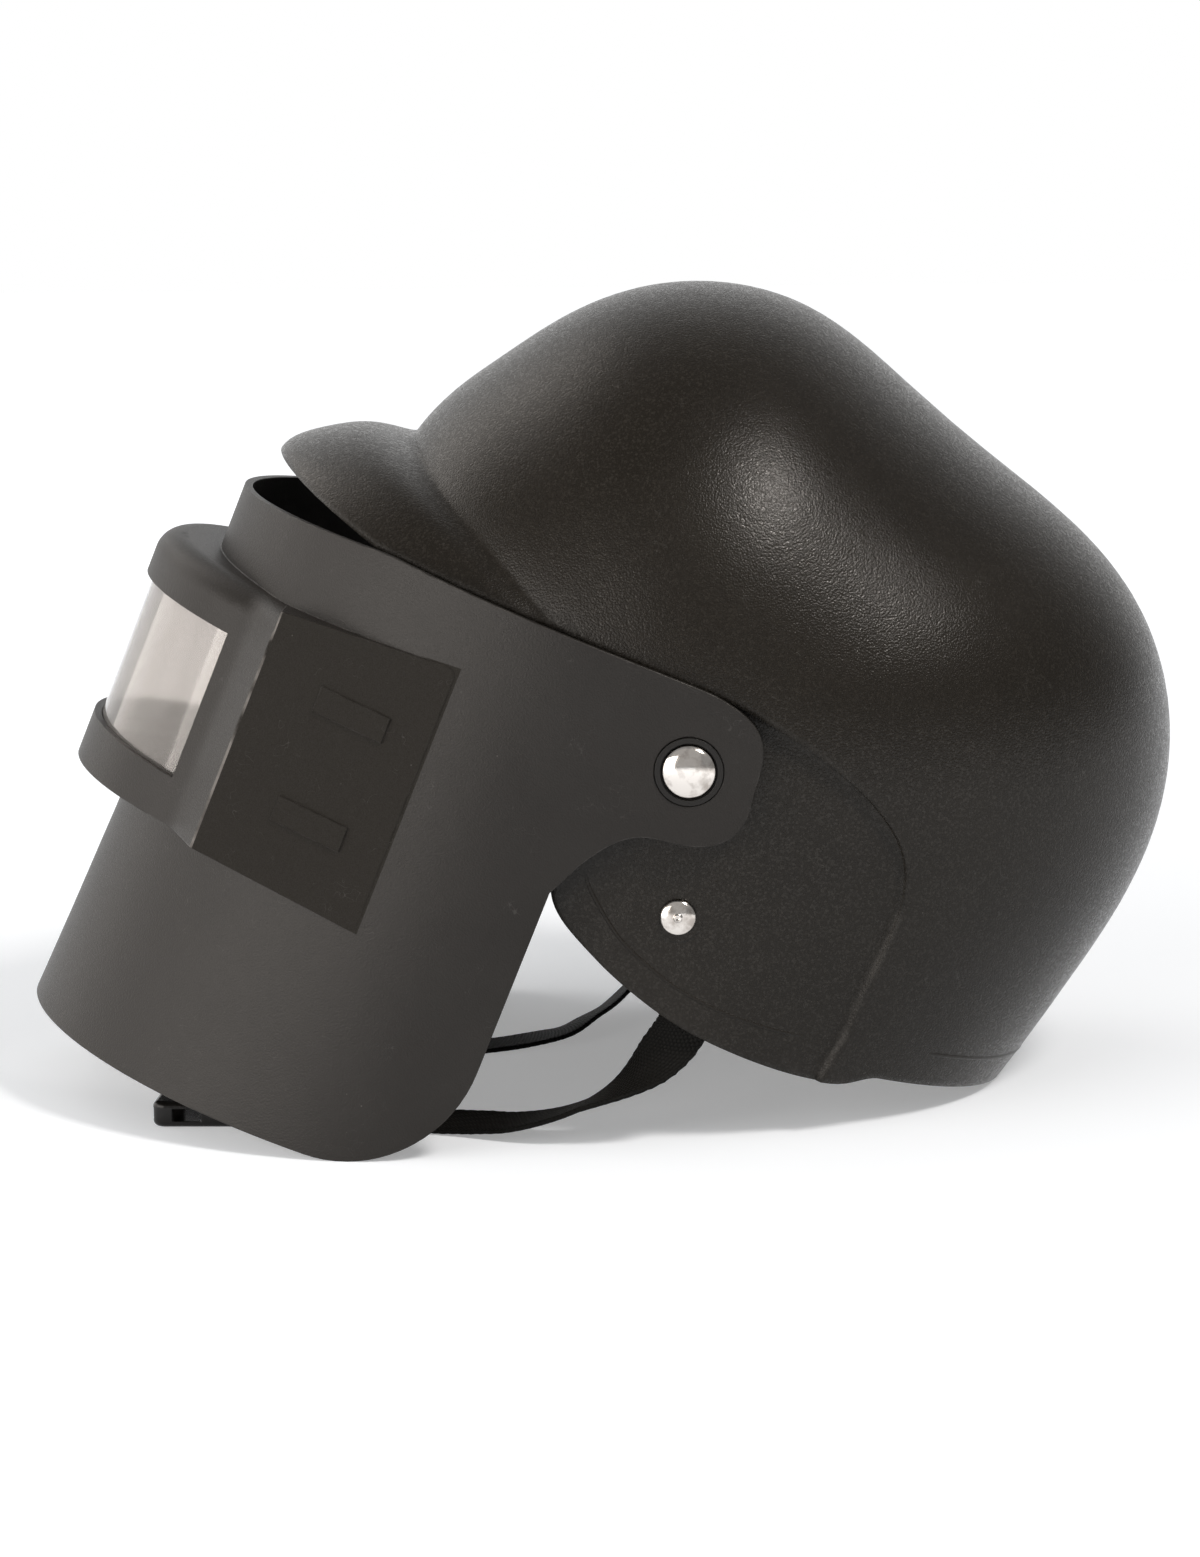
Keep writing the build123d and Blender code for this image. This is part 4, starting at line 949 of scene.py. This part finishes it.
def studio():
    """White backdrop behind the helmet, dim room on the lens's side, pale floor and soft lamps."""
    world = bpy.data.worlds.new("studio")
    bpy.context.scene.world = world
    world.use_nodes = True
    tree = world.node_tree
    back = tree.nodes["Background"]
    back.inputs["Color"].default_value = (1, 1, 1, 1)
    path = tree.nodes.new("ShaderNodeLightPath")
    place = tree.nodes.new("ShaderNodeTexCoord")
    side = put(tree, "ShaderNodeSeparateXYZ", {}, i0=place.outputs["Generated"])
    backdrop = spread(tree, side.outputs[0], -0.3, -0.95, 0.12, 1.0)
    white = maths(tree, "MAXIMUM", path.outputs["Is Camera Ray"], maths(
        tree, "MULTIPLY", backdrop, seen_rays(tree)))
    tree.links.new(maths(tree, "MAXIMUM", white, 0.3), back.inputs["Strength"])
    mesh = bpy.data.meshes.new("floor")
    wide = 6.0
    mesh.from_pydata([(-wide, -wide, 0), (wide, -wide, 0), (wide, wide, 0), (-wide, wide, 0)], [],
                     [(0, 1, 2, 3)])
    floor = bpy.data.objects.new("floor", mesh)
    bpy.context.scene.collection.objects.link(floor)
    material, tree, shader = finish_material("floor_white", Roughness=0.9, Specular_IOR_Level=0.1)
    shader.inputs["Base Color"].default_value = (0.76, 0.8, 0.85, 1)
    shader.inputs["Emission Color"].default_value = (1, 1, 1, 1)
    place = tree.nodes.new("ShaderNodeNewGeometry")
    away = put(tree, "ShaderNodeVectorMath", {"operation": "LENGTH"}, i0=place.outputs["Position"])
    glow = spread(tree, away.outputs["Value"], 0.3, 1.6, 0.3, 0.8)
    glow = maths(tree, "MULTIPLY", seen_rays(tree), glow)
    tree.links.new(glow, shader.inputs["Emission Strength"])
    mesh.materials.append(material)
    for name, way, far, wide, high, power in (
            ("key", (0.49, 0.47, 0.735), 1.8, 0.4, 0.4, 21),
            ("front", (0.6, -0.79, 0.09), 1.6, 1.8, 1.3, 29),
            ("front_right", (-0.27, -0.95, 0.12), 1.6, 1.45, 1.3, 8),
            ("top", (-0.45, -0.6, 0.65), 1.8, 1.1, 1.1, 6),
            ("fill", (0.85, -0.2, 0.5), 1.8, 2.6, 2.0, 2.2)):
        light(name, way, far, wide, high, power)


def camera():
    """The photograph's view, fitted about the mask's pivot."""
    turn, rise, roll = math.radians(3), math.radians(8), math.radians(22)
    back = worn_way(math.cos(turn) * math.cos(rise), -math.sin(turn) * math.cos(rise),
                    math.sin(rise))
    right = worn_way(math.sin(turn), math.cos(turn), 0)
    up = back.cross(right)
    level = right * math.cos(roll) + up * math.sin(roll)
    upright = up * math.cos(roll) - right * math.sin(roll)
    # The photograph's own pixels: its size, the distance as a focal length, and the pivot's place
    picture_width, picture_height, focal = 1200, 1557, 3978
    pivot_across, pivot_down = 690.44, 711.46
    sensor, distance = 36, 1.3
    view = bpy.data.cameras.new("view")
    view.sensor_fit = "HORIZONTAL"
    view.sensor_width = sensor
    view.lens = sensor * focal / picture_width
    view.shift_x = (picture_width / 2 - pivot_across) / picture_width
    view.shift_y = (pivot_down - picture_height / 2) / picture_width
    view.clip_start, view.clip_end = 0.05, 50
    holder = bpy.data.objects.new("view", view)
    turned = Matrix((level, upright, back)).transposed().to_4x4()
    turned.translation = PIVOT + back * distance
    holder.matrix_world = turned
    bpy.context.scene.collection.objects.link(holder)
    bpy.context.scene.camera = holder


studio()
camera()
bpy.context.scene.view_settings.view_transform = "Standard"
